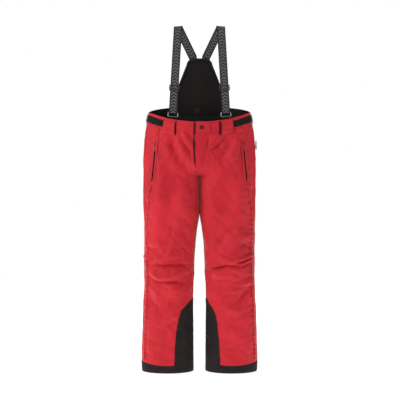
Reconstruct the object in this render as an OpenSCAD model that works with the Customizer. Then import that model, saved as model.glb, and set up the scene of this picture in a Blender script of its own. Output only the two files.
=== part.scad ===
// Padded ski trousers with a fly, two zipped hip pockets, waist adjusters,
// a raised back bib and detachable shoulder straps.
// Frame: Z up, the front faces -Y, +X is the viewer's right from the front,
// origin in the middle of the waist opening, level with its top edge at the side seams.

/* [Trousers] */
// Half the garment's width at the top edge of the waist
waist_half_w = 166; // [162:1:170]
// Half the garment's width across the hips
hip_half_w = 184.5; // [180:0.5:188]
// Half the width over both legs at the knees
knee_half_w = 182; // [178:1:186]
// Half the width over both legs near the hem
hem_half_w = 190; // [186:1:194]
// Drop from the side waist to the crotch seam
crotch_drop = 209; // [205:1:213]
// Drop from the side waist to the hem
hem_drop = 850; // [840:1:860]
// Half depth of the waist, front and back alike
waist_half_d = 62; // [58:1:66]
// Front half depth at the hips
hip_front_d = 72; // [68:1:76]
// Back half depth at the seat
seat_back_d = 86; // [80:1:92]
// How far the front waist edge dips below the side
front_dip = 37; // [30:1:42]
// How far the back waist edge rises above the side
back_rise = 24; // [18:1:28]

/* [Layers] */
// Thickness of the outer shell cloth
shell_t = 1.5; // [1:0.1:1.8]
// Depth from the shell's face to the wadding
wadding_at = 4; // [3.6:0.1:4.2]
// Thickness of the wadding
wadding_t = 3; // [2:0.1:3.2]
// Depth from the shell's face to the lining
lining_at = 9.6; // [9.4:0.1:10.4]
// Thickness of the lining cloth
lining_t = 1; // [0.6:0.1:1.2]

/* [Waist and fly] */
// Height of the waistband
band_h = 39; // [36:1:42]
// How far the waistband's end laps past the centre front
lap_x = 11; // [10:0.5:12]
// Length of the fly zip below the waistband
fly_len = 96; // [88:1:98]
// Centre of the waist snap across the front
snap_x = 7; // [6:0.5:8]
// Radius of the waist snap's cap
snap_r = 7.2; // [6.5:0.1:7.5]

/* [Pockets] */
// Travel of a pocket zip's slider
pocket_travel = 105; // [80:1:108]
// Half width of a pocket's slot across its zip
slot_half_w = 5.4; // [5.2:0.1:5.8]

/* [Straps] */
// Width of the shoulder webbing
strap_w = 27; // [24:1:28]
// Thickness of the shoulder webbing
strap_t = 1.5; // [1.2:0.1:1.6]
// Height of the strap's top fold above the side waist
strap_top = 284; // [270:1:300]
// Height of the adjuster slide on the strap
slide_z = 76; // [70:1:80]
// Height of the back bib above the side waist
bib_top = 176; // [165:1:185]

/* [Hems] */
// Height of the black hem band
hem_band_h = 32; // [28:1:36]
// Height of the inner snow gaiter
gaiter_h = 135; // [110:1:145]

/* [Hidden] */
$fn = 48;

RED = "#c42036";
DARK_RED = "#8f1426";
BLACK = "#2a2424";
STEEL = "#b9bcc0";
SEAM = 0.001;          // half of the slit left at each seam, as a share of the way round
CENTRE_GAP = 0.4;      // half of the gap between the two halves at the centre seams

// ---- the garment's surface: t runs from the centre front (or inseam) round the side
// ---- seam at t = 0.5 to the centre back, z is the height and d the depth under the face

OUTER = [[-hem_drop, hem_half_w - 2], [-830, hem_half_w + 1], [-780, hem_half_w],
    [-712, hem_half_w - 2], [-633, knee_half_w + 3], [-560, knee_half_w], [-360, knee_half_w],
    [-330, hip_half_w], [-157, hip_half_w], [-98, hip_half_w - 3], [-39, waist_half_w + 9],
    [0, waist_half_w], [40, waist_half_w - 4]];
INNER = [[-hem_drop, 20], [-633, 21.5], [-560, 19.5], [-534, 17], [-494, 16.5], [-454, 15],
    [-415, 11.5], [-375, 6.6], [-345, 2.8], [-crotch_drop, 2]];
FRONT = [[-hem_drop, 53], [-620, 56], [-500, 67], [-400, 69], [-300, 71], [-175, hip_front_d - 0.5],
    [-37, hip_front_d - 6.5], [0, waist_half_d]];
BACK = [[-hem_drop, 57], [-620, 62], [-500, 60], [-400, 68], [-300, 78], [-209, seat_back_d],
    [-110, seat_back_d - 6], [0, waist_half_d], [40, waist_half_d]];

function mix(a, b, w) = a * (1 - w) + b * w;
function clamp01(v) = max(0, min(1, v));
function smooth(v) = let (c = clamp01(v)) c * c * (3 - 2 * c);
function unit(v) = v / norm(v);

function half_depth(z, back) = back ? lookup(z, BACK) : lookup(z, FRONT);

function trunk(t, z, d, gap) =
    let (a = 180 * t - 90, r = half_depth(z, t > 0.5) - d)
    [gap + (lookup(z, OUTER) - d - gap) * cos(a), r * sin(a), z];

function leg(t, z, d) =
    let (a = 360 * t - 180, xo = lookup(z, OUTER), xi = lookup(z, INNER),
        r = half_depth(z, t > 0.5 || t < 0) - d)
    [(xo + xi) / 2 + ((xo - xi) / 2 - d) * cos(a), r * sin(a), z];

// Share of the leg's section at height z: a U curve at the crotch seam, a slow change elsewhere
RISE_TOP = -175;
function leg_share(t, z) =
    let (near = min(abs(t), abs(1 - t)), s = clamp01((RISE_TOP - z) / (crotch_drop + RISE_TOP)),
        seam = 1 - sqrt(1 - s * s), slow = smooth((-120 - z) / 180), e = exp(-pow(near / 0.08, 2)))
    mix(slow, seam, e);

function cloth_at(t, z, d, gap = CENTRE_GAP) =
    let (w = leg_share(t, z)) mix(trunk(t, z, d, gap), leg(t, z, d), w);

// Top edge of the waist relative to the side, and a row's height once it follows that edge
function rise(t) = t < 0.5 ? -front_dip * pow(max(0, cos(180 * t)), 1.8) : -back_rise * cos(180 * t);
function row_z(t, row) = row + rise(clamp01(t)) * (1 - smooth((-40 - row) / 140));

// Half gap at the centre front of a layer, open over the fly and closed below it
FLY_SHUT_Z = -194;
FLY_OPEN_Z = -178;
function fly_gap(z, open) = lookup(z, [[FLY_SHUT_Z, CENTRE_GAP], [FLY_OPEN_Z, open]]);

function layer_point(t, row, d, open) =
    let (z = row_z(t, row)) cloth_at(t, z, d, t < 0.5 ? fly_gap(z, open) : CENTRE_GAP);
function layer_grid(ts, rows, d, open) =
    [for (j = [0 : len(rows) - 1]) [for (t = ts[j]) layer_point(t, rows[j], is_list(d) ? d[j] : d, open)]];

// A closed solid between two grids of points: columns run to the right and rows down as
// seen from outside, the first grid is the outer one, and a hole is [i0, i1, j0, j1] in cells
module grid_solid(outer, inner, round = false, hole = [0, -1, 0, -1]) {
    nv = len(outer);
    nu = len(outer[0]);
    cells = round ? nu : nu - 1;
    rows = nv - 1;
    function has(i, j) = j >= 0 && j < rows && (round || (i >= 0 && i < cells))
        && !(i >= hole[0] && i <= hole[1] && j >= hole[2] && j <= hole[3]);
    function a(i, j) = j * nu + (i % nu);
    function b(i, j) = nu * nv + a(i, j);
    function quad(p, q, r, s) = [[p, q, r], [p, r, s]];
    faces = [for (j = [0 : rows - 1]) for (i = [0 : cells - 1]) if (has(i, j))
        for (f = concat(
            quad(a(i, j), a(i + 1, j), a(i + 1, j + 1), a(i, j + 1)),
            quad(b(i, j), b(i, j + 1), b(i + 1, j + 1), b(i + 1, j)),
            has(i, j - 1) ? [] : quad(b(i, j), b(i + 1, j), a(i + 1, j), a(i, j)),
            has(i, j + 1) ? [] : quad(a(i, j + 1), a(i + 1, j + 1), b(i + 1, j + 1), b(i, j + 1)),
            has(i - 1, j) ? [] : quad(a(i, j), a(i, j + 1), b(i, j + 1), b(i, j)),
            has(i + 1, j) ? [] : quad(a(i + 1, j + 1), a(i + 1, j), b(i + 1, j), b(i + 1, j + 1))))
        f];
    points = concat([for (r = outer) for (p = r) p], [for (r = inner) for (p = r) p]);
    polyhedron(points, faces, convexity = 6);
}

// A layer of cloth between the columns ts and the rows, from depth d0 to depth d1
module layer(ts, rows, d0, d1, open = CENTRE_GAP, hole = [0, -1, 0, -1]) {
    cols = is_list(ts[0]) ? ts : [for (r = rows) ts];
    grid_solid(layer_grid(cols, rows, d0, open), layer_grid(cols, rows, d1, open), hole = hole);
}

module left() {
    mirror([1, 0, 0]) children();
}

// ---- shared columns and rows of the trousers

// Where a straight line down the hip crosses each row, so that the pocket's slot follows it
POCKET_T = [[-231, 0.352], [-209, 0.3375], [-199, 0.33], [-178, 0.3145], [-160, 0.3015], [-135, 0.29],
    [-110, 0.2845], [-87, 0.283]];
POCKET_HALF_T = slot_half_w / 400;
ROWS = [-band_h - 1, -62, -87, -110, -135, -160, -178, -190, -199, -206, -crotch_drop, -231, -280, -335,
    -400, -455, -510, -560, -620, -690, -760, hem_band_h - hem_drop + 1];
SLOT = [5, 5, 2, 10];   // the pocket's slot, as a range of columns and of rows
LINING_OPEN = 12;       // half gap of the lining and the pocket bags over the fly
LINING_ROWS = [for (i = [0 : len(ROWS) - 2]) ROWS[i]];

function front_cols(row, half = POCKET_HALF_T) =
    let (p = lookup(row, POCKET_T))
    [SEAM, 0.05, 0.1, 0.155, 0.21, p - half, p + half, 0.38, 0.42, 0.46, 0.5 - SEAM];
function back_cols(row) = [0.5 + SEAM, 0.55, 0.6, 0.65, 0.7, 0.75, 0.8, 0.85, 0.9, 0.95, 1 - SEAM];
function all_cols(row, half = POCKET_HALF_T) = concat([for (i = [0 : 9]) front_cols(row, half)[i]],
    [for (i = [0 : 10]) i == 0 ? 0.5 : back_cols(row)[i]]);

module front_panel() {
    color(RED) layer([for (r = ROWS) front_cols(r)], ROWS, 0, shell_t, 7, SLOT);
}

module back_panel() {
    color(RED) layer([for (r = ROWS) back_cols(r)], ROWS, 0, shell_t);
}

module wadding() {
    color("white") layer([for (r = LINING_ROWS) all_cols(r, 1.7 * POCKET_HALF_T)], LINING_ROWS, wadding_at,
        wadding_at + wadding_t, 20, SLOT);
}

module lining() {
    color(BLACK) layer([for (r = LINING_ROWS) all_cols(r)], LINING_ROWS, lining_at,
        lining_at + lining_t, LINING_OPEN);
}

module pocket_bag() {
    rows = [for (i = [2 : 11]) ROWS[i]];
    bag_at = wadding_at + wadding_t + 0.6;
    color(BLACK) layer([for (r = rows) [for (i = [4 : 8]) front_cols(r)[i]]], rows, bag_at, bag_at + 1.2,
        LINING_OPEN);
}

// ---- waistband

BAND_ROWS = [0, -band_h / 2, -band_h];
BAND_T = 2;
LAP_END_T = 0.058;     // where the moving end of the waistband joins the right front
function band_ts(t0, t1, n) = [for (i = [0 : n]) mix(t0, t1, i / n)];

module waistband_front(t0) {
    color(RED) layer(band_ts(t0, 0.5 - SEAM, 10), BAND_ROWS, 0, BAND_T);
}

// The columns of a strip that goes round the back: first the right side, then the left
module round_back(t0, n, rows, d0, d1) {
    ts = band_ts(t0, 1, n);
    function both(d) = [for (row = rows) concat(
        [for (t = ts) layer_point(t, row, d, CENTRE_GAP)],
        [for (k = [n : -1 : 0]) let (p = layer_point(ts[k], row, d, CENTRE_GAP)) [-p.x, p.y, p.z]])];
    grid_solid(both(d0), both(d1));
}

module waistband_back() {
    color(RED) round_back(0.5 + SEAM, 9, BAND_ROWS, 0, BAND_T);
}

module waistband_facing() {
    color(BLACK) round_back(LAP_END_T, 18, [-1, -band_h / 2, 1 - band_h], 5.5, 6.5);
}

// ---- fly: a tilted plane at the centre front. Local x is across, y the depth, z up

FLY_TILT = atan((lookup(-175, FRONT) - lookup(-37, FRONT)) / 138);
module in_fly() {
    translate([0, -lookup(-front_dip, FRONT), -front_dip]) rotate([-FLY_TILT, 0, 0]) children();
}

// A plate in the fly plane from its outline in x and z
module fly_plate(points, d0, d1) {
    translate([0, d1, 0]) rotate([90, 0, 0]) linear_extrude(d1 - d0) polygon(points);
}

// A disc or ring in the fly plane, centred on the snap
module fly_disc(r, d0, d1) {
    translate([snap_x, d1, -band_h / 2]) rotate([90, 0, 0]) cylinder(r = r, h = d1 - d0);
}

LAP_OUT = 2.8;         // the lapping pieces' outer face, above the shell
LAP_IN = 1.2;          // and their inner face
UNDERLAP_AT = 2.4;
HINGE_X = 29;          // right-hand end of the lapping pieces

module waistband_underlap() {
    color(RED) in_fly() difference() {
        fly_plate([[-9, 0], [24, 0], [24, -band_h], [-9, -band_h]], UNDERLAP_AT, UNDERLAP_AT + 1.6);
        fly_disc(1.9, 0, 9);
    }
}

module waistband_overlap() {
    color(RED) in_fly() difference() {
        fly_plate([[-lap_x, 0], [HINGE_X - 0.5, 0], [HINGE_X - 0.5, -band_h], [-lap_x, -band_h]],
            -LAP_OUT, -LAP_IN);
        fly_disc(2, -9, 3);
    }
}

module fly_flap() {
    top = -band_h - 1;
    end = top - fly_len;
    color(RED) in_fly() fly_plate([[-lap_x, top], [22, top], [21, top - 35], [17, top - 62],
        [10, top - 79], [0, end + 5], [-lap_x, end]], -LAP_OUT, -LAP_IN);
}

module fly_shield() {
    top = -band_h - 2;
    color(BLACK) in_fly() fly_plate([[-17, top], [16, top], [16, top - 80], [6, top - fly_len],
        [-8, top - fly_len], [-17, top - 86]], 5.4, 6.6);
}

CHAIN_HALF_W = 2.5;
FLY_CHAIN_AT = 2.2;

// A closed zip from z = 0 down: two tapes, each with its half of the coil
module zip_tape(len, chain_at, tape_half_w) {
    for (s = [-1, 1]) scale([s, 1, 1]) {
        translate([0.15, chain_at + 1.2, -len]) cube([tape_half_w - 0.15, 0.8, len]);
        translate([0.15, chain_at, -len + 2]) cube([CHAIN_HALF_W - 0.15, 1.3, len - 4]);
    }
}

// The slider straddles the coil: a top plate, two flanges and a bridge for the pull
module zip_slider(chain_at) {
    plate_at = chain_at - 1.3;
    translate([-3.7, plate_at, -6]) cube([7.4, 1, 12]);
    for (s = [-1, 1]) translate([s * 3.3 - 0.4, plate_at, -6]) cube([0.8, 2.4, 12]);
    for (z = [-4.6, 3.4]) translate([-0.8, plate_at - 1.8, z]) cube([1.6, 1.9, 1.2]);
    translate([-0.8, plate_at - 2.2, -4.6]) cube([1.6, 0.6, 9.2]);
}

FLY_TOP = -band_h - 3;
module fly_zip_tape() {
    color(BLACK) in_fly() translate([0, 0, FLY_TOP]) zip_tape(fly_len - 2, FLY_CHAIN_AT, 12);
}

module fly_zip_slider() {
    color(STEEL) in_fly() translate([0, 0, FLY_TOP - 8]) {
        plate_at = FLY_CHAIN_AT - 1.3;
        translate([-3.7, plate_at, -6]) cube([7.4, 1, 12]);
        for (s = [-1, 1]) translate([s * 3.3 - 0.4, plate_at, -6]) cube([0.8, 2.4, 12]);
        translate([-0.8, plate_at - 0.8, 2]) cube([1.6, 0.9, 2]);
    }
}

module fly_zip_pull() {
    color(STEEL) in_fly() translate([0, FLY_CHAIN_AT - 2.5, FLY_TOP - 8]) rotate([90, 0, 0])
        linear_extrude(0.5) difference() {
            hull() {
                translate([0, 3]) circle(2.8);
                translate([0, -16]) circle(2.2);
            }
            translate([0, 3]) circle(1.9);
            translate([0, -15]) circle(0.9);
        }
}

module snap_cap() {
    color("#3c3c40") in_fly() translate([snap_x, 0, -band_h / 2]) rotate([90, 0, 0]) {
        translate([0, 0, 0.9]) cylinder(r = 1.6, h = 2.4);
        translate([0, 0, 3.1]) rotate_extrude() polygon([[0, 0], [snap_r, 0], [snap_r, 0.6],
            [snap_r - 0.6, 1.3], [snap_r - 1.8, 1.7], [0, 1.9]]);
    }
}

module snap_socket() {
    color(STEEL) in_fly() translate([snap_x, 0, -band_h / 2]) rotate([90, 0, 0]) translate([0, 0, -1.6])
        rotate_extrude() polygon([[4, 0], [5.4, 0], [5.4, 2.2], [0, 2.2], [0, 1.7], [4, 1.7]]);
}

module snap_stud() {
    color(STEEL) in_fly() translate([snap_x, 0, -band_h / 2]) rotate([90, 0, 0]) {
        translate([0, 0, -2.3]) cylinder(r = 5, h = 0.3);
        translate([0, 0, -2.1]) cylinder(r = 2.9, h = 1.5);
        translate([0, 0, -4.2]) cylinder(r = 1.5, h = 2.2);
        translate([0, 0, -4.8]) cylinder(r = 4, h = 0.6);
    }
}

// ---- belt loops and side adjusters: strips that bridge over the waistband

// A strip whose ends lie close to the band and whose middle stands out to let a strap through
module bridge(t0, t1, n, top, bottom, out, thick) {
    rows = [top, top - 5, top - 8, (top + bottom) / 2, bottom + 8, bottom + 5, bottom];
    outs = [0.4, 0.4, out, out + 0.6, out, 1.2, 1.2];
    layer(band_ts(t0, t1, n), rows, [for (o = outs) -o - thick], [for (o = outs) -o]);
}

module belt_loop_left() {
    color(RED) left() bridge(0.155, 0.248, 4, -3, -52, 3.2, 1.6);
}

module belt_loop_right() {
    color(RED) bridge(0.134, 0.228, 4, -3, -48, 3.2, 1.6);
}

module belt_loops_back() {
    color(RED) for (s = [-1, 1]) scale([s, 1, 1]) bridge(0.86, 0.9, 2, -2, -46, 3, 1.6);
}

TAB_ROWS = [-10, -20, -30];
TAB_FRONT_T = 0.262;
TAB_HINGE_T = 0.46;

module waist_tab() {
    color(BLACK) layer(band_ts(TAB_FRONT_T, TAB_HINGE_T, 8), TAB_ROWS, -2.4, -1.2);
}

module tab_base() {
    color(BLACK) layer(band_ts(TAB_HINGE_T + 0.017, 0.64, 6), TAB_ROWS, -2.4, -1.2);
}

module loop_patch() {
    color(BLACK) layer(band_ts(TAB_FRONT_T + 0.006, TAB_HINGE_T - 0.03, 8), [-9, -20, -31], -0.8, -0.3);
}

module tab_keeper() {
    color(DARK_RED) bridge(0.49, 0.525, 2, -1, -38.6, 2.9, 1.2);
}

// ---- zipped hip pockets, on a straight line down the front of the hip

POCKET_TOP = cloth_at(0.283, -101, 0);
POCKET_END = cloth_at(0.35, -228, 0);
POCKET_UP = unit(POCKET_TOP - POCKET_END);
POCKET_IN = let (n = [-0.48, 0.877, 0]) unit(n - (n * POCKET_UP) * POCKET_UP);
POCKET_ACROSS = cross(POCKET_IN, POCKET_UP);
POCKET_SINK = 0.6;     // the zip sits this far under the straight line, as the hip bulges a little

module in_pocket(z = 0) {
    o = POCKET_TOP + POCKET_IN * POCKET_SINK;
    x = POCKET_ACROSS;
    y = POCKET_IN;
    u = POCKET_UP;
    multmatrix([[x.x, y.x, u.x, o.x], [x.y, y.y, u.y, o.y], [x.z, y.z, u.z, o.z], [0, 0, 0, 1]])
        translate([0, 0, z]) children();
}

POCKET_LEN = norm(POCKET_TOP - POCKET_END);
POCKET_CHAIN_AT = 0.4;
SLIDER_Z = -8;         // a slider's middle below the top of its zip

module pocket_zip() {
    color(BLACK) in_pocket() zip_tape(POCKET_LEN, POCKET_CHAIN_AT, 4);
}

module pocket_welt() {
    color(DARK_RED) in_pocket() for (s = [-1, 1]) scale([s, 1, 1])
        translate([slot_half_w + 0.8, -2.8, -POCKET_LEN - 3]) cube([4, 1.2, POCKET_LEN + 6]);
}

module pocket_slider() {
    color("#3c3c40") in_pocket(SLIDER_Z) zip_slider(POCKET_CHAIN_AT);
}

// The pull's crossbar lies under the bridge and is the axis that the pull flips about
PULL_AXIS_OUT = 1.7;
module pocket_pull() {
    color("#3c3c40") in_pocket(SLIDER_Z) translate([0, -PULL_AXIS_OUT, 0]) {
        rotate([0, 90, 0]) translate([0, 0, -2.4]) cylinder(r = 0.35, h = 4.8);
        for (s = [-1, 1]) translate([s * 1.8 - 0.6, -0.4, -7]) cube([1.2, 0.8, 7]);
        translate([-2.4, -0.4, -22]) cube([4.8, 0.8, 15.6]);
    }
}

// ---- back bib

BIB_W = [[-4, 97], [20, 95], [95, 67], [bib_top, 35]];
BIB_ROWS = [bib_top, 150, 122, 95, 70, 45, 20, -4];
BIB_ARCH = 8;
BIB_AT = 2.5;
BIB_T = 1.6;
BIB_SHARES = [-1, -0.75, -0.5, -0.25, 0, 0.25, 0.5, 0.75, 1];

function bib_point(share, row, d, grow = 0) =
    let (x = share * (lookup(row, BIB_W) + grow), lean = 0.022 * max(0, row - 20),
        z = row + (1 - share * share) * BIB_ARCH * clamp01((row - 95) / (bib_top - 95)))
    [x, (waist_half_d - d - lean) * sqrt(1 - pow(x / (waist_half_w - d), 2)), z];

module back_bib() {
    color(BLACK) grid_solid(
        [for (r = BIB_ROWS) [for (s = BIB_SHARES) bib_point(s, r, BIB_AT + BIB_T)]],
        [for (r = BIB_ROWS) [for (s = BIB_SHARES) bib_point(s, r, BIB_AT)]]);
}

// The binding runs up one side of the bib, over its top and down the other, just outside its edge
module bib_binding() {
    up = [for (i = [len(BIB_ROWS) - 2 : -1 : 0]) [-1, BIB_ROWS[i]]];
    over = [for (i = [1 : len(BIB_SHARES) - 2]) [BIB_SHARES[i], bib_top]];
    down = [for (i = [0 : len(BIB_ROWS) - 2]) [1, BIB_ROWS[i]]];
    edge = concat(up, over, down);
    function at(e, d, off) = let (p = bib_point(e[0], e[1], d))
        let (side = abs(e[0]) == 1, top = e[1] == bib_top, sx = sign(e[0]))
        p + [side ? sx * off * (top ? 0.7 : 0.95) : 0, 0, top ? off * (side ? 0.7 : 1) : side ? off * 0.3 : 0];
    color(BLACK) grid_solid(
        [for (off = [5, 0.5]) [for (e = edge) at(e, 5.8, off)]],
        [for (off = [5, 0.5]) [for (e = edge) at(e, 2.2, off)]]);
}

// ---- shoulder straps: one webbing from the bib over the shoulder, down to the ring and back

FOLD_R = 9;
FOLD = [0, 2.3, strap_top - FOLD_R];
BACK_END = [19, 59.2, 158];
BACK_CLEAR = [22, 58.2, bib_top + 16];  // the webbing clears the bib's top edge here
RING_AT = [86, -38, -4];
FOLD_X = 71;
FOLD_AXIS = [cos(12), 0, -sin(12)];
BACK_A = 24.9;         // angles of the webbing's outward normal before and after the fold
FRONT_A = 173.6;

function fold_point(a) = [mix(FOLD_X - 3, FOLD_X, (a - BACK_A) / (FRONT_A - BACK_A)),
    FOLD.y + FOLD_R * cos(a), FOLD.z + FOLD_R * sin(a)];
FRONT_TOP = fold_point(FRONT_A);
FRONT_T = unit(RING_AT - FRONT_TOP);
FRONT_W = unit([1, 0, 0] - FRONT_T.x * FRONT_T);
FRONT_IN = -cross(FRONT_T, FRONT_W);
LAYER_GAP = 2.15;      // half the distance between the webbing's two lower layers
function slide_at(z) = FRONT_TOP + FRONT_T * (z - FRONT_TOP.z) / FRONT_T.z;

STRAP_PATH = concat(
    [BACK_END],
    [for (i = [0 : 4]) mix(BACK_CLEAR, fold_point(BACK_A), i / 5)],
    [for (i = [0 : 8]) fold_point(mix(BACK_A, FRONT_A, i / 8))],
    [for (i = [1 : 5]) mix(FRONT_TOP, RING_AT, i / 6)],
    [for (i = [0 : 6]) RING_AT + FRONT_IN * LAYER_GAP * (1 - cos(30 * i)) + FRONT_T * LAYER_GAP * sin(30 * i)],
    [for (i = [1 : 2]) mix(RING_AT, slide_at(slide_z - 4), i / 2) + FRONT_IN * 2 * LAYER_GAP]);

function path_dir(path, i) = unit(path[min(i + 1, len(path) - 1)] - path[max(i - 1, 0)]);
// Width vector at point i: it turns from the back run's to the front run's round the fold
FOLD_FIRST = 6;
FOLD_LAST = 14;
function square_to(axis, dir) = unit(axis - (axis * dir) * dir);
function strap_width(i, dir) = i > FOLD_LAST ? FRONT_W
    : square_to(mix(FOLD_AXIS, [1, 0, 0], clamp01((i - FOLD_FIRST) / (FOLD_LAST - FOLD_FIRST))), dir);

// A flat strip of webbing along a path, with its width vector at each point
module webbing(path, widths, w, t) {
    dirs = [for (i = [0 : len(path) - 1]) path_dir(path, i)];
    function side(i, s) = [for (e = [-1, 1])
        path[i] + widths[i] * e * w / 2 + cross(dirs[i], widths[i]) * s * t / 2];
    grid_solid([for (i = [0 : len(path) - 1]) side(i, 1)], [for (i = [0 : len(path) - 1]) side(i, -1)]);
}

module strap() {
    widths = [for (i = [0 : len(STRAP_PATH) - 1]) strap_width(i, path_dir(STRAP_PATH, i))];
    color(BLACK) webbing(STRAP_PATH, widths, strap_w, strap_t);
}

// Local frame on the strap's front run: x across, y inwards, z up along the webbing
module on_strap(o) {
    x = FRONT_W;
    y = FRONT_IN;
    u = -FRONT_T;
    multmatrix([[x.x, y.x, u.x, o.x], [x.y, y.y, u.y, o.y], [x.z, y.z, u.z, o.z], [0, 0, 0, 1]]) children();
}

SLIDE_W = 34;
SLIDE_H = 19.5;
SLIDE_SIDE = (SLIDE_W - strap_w) / 2 - 0.6;
module strap_slide() {
    face = -strap_t / 2 - 0.4;
    bar_in = strap_t / 2 + 0.4;
    color(BLACK) on_strap(slide_at(slide_z)) {
        for (s = [-1, 1]) scale([s, 1, 1]) {
            translate([SLIDE_W / 2 - SLIDE_SIDE, face - 2, 2 - SLIDE_H / 2])
                cube([SLIDE_SIDE, bar_in + 2 - face + 1.7, SLIDE_H - 4]);
        }
        for (z = [-SLIDE_H / 2, SLIDE_H / 2 - 4]) translate([0.6 - SLIDE_W / 2, face - 2, z])
            cube([SLIDE_W - 1.2, 2, 4]);
        translate([-SLIDE_W / 2 + 1, bar_in, -2]) cube([SLIDE_W - 2, 1.7, 4]);
    }
}

WIRE_R = 1.1;
RING_W = 32;
RING_H = 14;
RING_ROUND = 2.4;
module strap_ring() {
    c = RING_ROUND;
    color(STEEL) on_strap(RING_AT + FRONT_IN * LAYER_GAP) translate([0, 0, -RING_H / 2]) {
        for (z = [-RING_H / 2, RING_H / 2]) translate([c - RING_W / 2, 0, z]) rotate([0, 90, 0])
            cylinder(r = WIRE_R, h = RING_W - 2 * c);
        for (x = [-RING_W / 2, RING_W / 2]) translate([x, 0, c - RING_H / 2])
            cylinder(r = WIRE_R, h = RING_H - 2 * c);
        for (sx = [-1, 1]) for (sz = [-1, 1]) scale([sx, 1, sz])
            translate([RING_W / 2 - c, 0, RING_H / 2 - c]) rotate([90, 0, 0])
                rotate_extrude(angle = 90) translate([c, 0]) circle(WIRE_R);
    }
}

// A webbing loop holds the ring's lower bar to the inside of the waistband
ANCHOR_AT = RING_AT + FRONT_IN * LAYER_GAP + FRONT_T * RING_H;
ANCHOR_R = WIRE_R + 0.4 + 0.6;
module ring_anchor() {
    w = FRONT_W;
    in = unit([0, 1, 0] - w.y * w);
    path = concat([ANCHOR_AT - in * ANCHOR_R + [0, 0, -36]],
        [for (i = [0 : 6]) ANCHOR_AT - in * ANCHOR_R * cos(30 * i) + [0, 0, ANCHOR_R * sin(30 * i)]],
        [ANCHOR_AT + in * ANCHOR_R + [0, 0, -36]]);
    color(BLACK) webbing(path, [for (p = path) w], RING_W - 9, 1.2);
}

// ---- lower legs

GUARD_T = [[-829, 0.19], [-715, 0.169], [-652, 0.148], [-614, 0.03]];
GUARD_ROWS = [-614, -632, -652, -690, -715, -760, hem_band_h - hem_drop + 1];
module scuff_guard() {
    function grid(d) = [for (r = GUARD_ROWS) [for (i = [-7 : 7]) leg(i / 7 * lookup(r, GUARD_T), r, d)]];
    color(BLACK) grid_solid(grid(-2.7), grid(-1.5));
}

RING_TS = [for (i = [0 : 23]) i / 24];
// A closed band round one leg: each row is [height, outer depth, inner depth]
module leg_ring(rows) {
    grid_solid([for (r = rows) [for (t = RING_TS) leg(t, r[0], r[1])]],
        [for (r = rows) [for (t = RING_TS) leg(t, r[0], r[2])]], round = true);
}

module hem_band() {
    color(BLACK) leg_ring([[hem_band_h - hem_drop, 0, shell_t], [-hem_drop, 0, shell_t]]);
}

module gaiter() {
    top = gaiter_h - hem_drop + 6;
    end = 6 - hem_drop;
    color(BLACK) leg_ring([[top, 14, 15], [mix(top, end, 0.5), 16, 17], [end + 14, 20, 21],
        [end + 12, 19, 22], [end, 19, 22]]);
}

// A folded tag sewn into the right side seam
LABEL_TOP = -94;
module side_label() {
    z = LABEL_TOP - 15;
    color("white") translate([lookup(z, OUTER) + 0.6, -0.7, LABEL_TOP - 30]) cube([7, 1.4, 30]);
}

left() front_panel();  // front_panel_left
front_panel();  // front_panel_right
left() back_panel();  // back_panel_left
back_panel();  // back_panel_right
left() wadding();  // wadding_left
wadding();  // wadding_right
left() lining();  // lining_left
lining();  // lining_right
left() waistband_front(SEAM);  // waistband_front_left
waistband_front(LAP_END_T);  // waistband_front_right
waistband_back();
waistband_facing();
waistband_underlap();
waistband_overlap();
fly_flap();
fly_shield();
fly_zip_tape();
fly_zip_slider();
fly_zip_pull();
snap_cap();
snap_socket();
snap_stud();
belt_loop_left();
belt_loop_right();
belt_loops_back();
left() waist_tab();  // waist_tab_left
waist_tab();  // waist_tab_right
left() tab_base();  // tab_base_left
tab_base();  // tab_base_right
left() tab_keeper();  // tab_keeper_left
tab_keeper();  // tab_keeper_right
left() loop_patch();  // loop_patch_left
loop_patch();  // loop_patch_right
left() pocket_welt();  // pocket_welt_left
pocket_welt();  // pocket_welt_right
left() pocket_zip();  // pocket_zip_left
pocket_zip();  // pocket_zip_right
left() pocket_slider();  // pocket_slider_left
pocket_slider();  // pocket_slider_right
left() pocket_pull();  // pocket_pull_left
pocket_pull();  // pocket_pull_right
left() pocket_bag();  // pocket_bag_left
pocket_bag();  // pocket_bag_right
back_bib();
bib_binding();
left() strap();  // strap_left
strap();  // strap_right
left() strap_slide();  // strap_slide_left
strap_slide();  // strap_slide_right
left() strap_ring();  // strap_ring_left
strap_ring();  // strap_ring_right
left() ring_anchor();  // ring_anchor_left
ring_anchor();  // ring_anchor_right
left() scuff_guard();  // scuff_guard_left
scuff_guard();  // scuff_guard_right
left() hem_band();  // hem_band_left
hem_band();  // hem_band_right
left() gaiter();  // gaiter_left
gaiter();  // gaiter_right
side_label();
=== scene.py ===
"""Padded ski trousers: the cloth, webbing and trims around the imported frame."""
import math

import bmesh
import bpy
import numpy as np
from mathutils import Matrix, Vector


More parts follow.
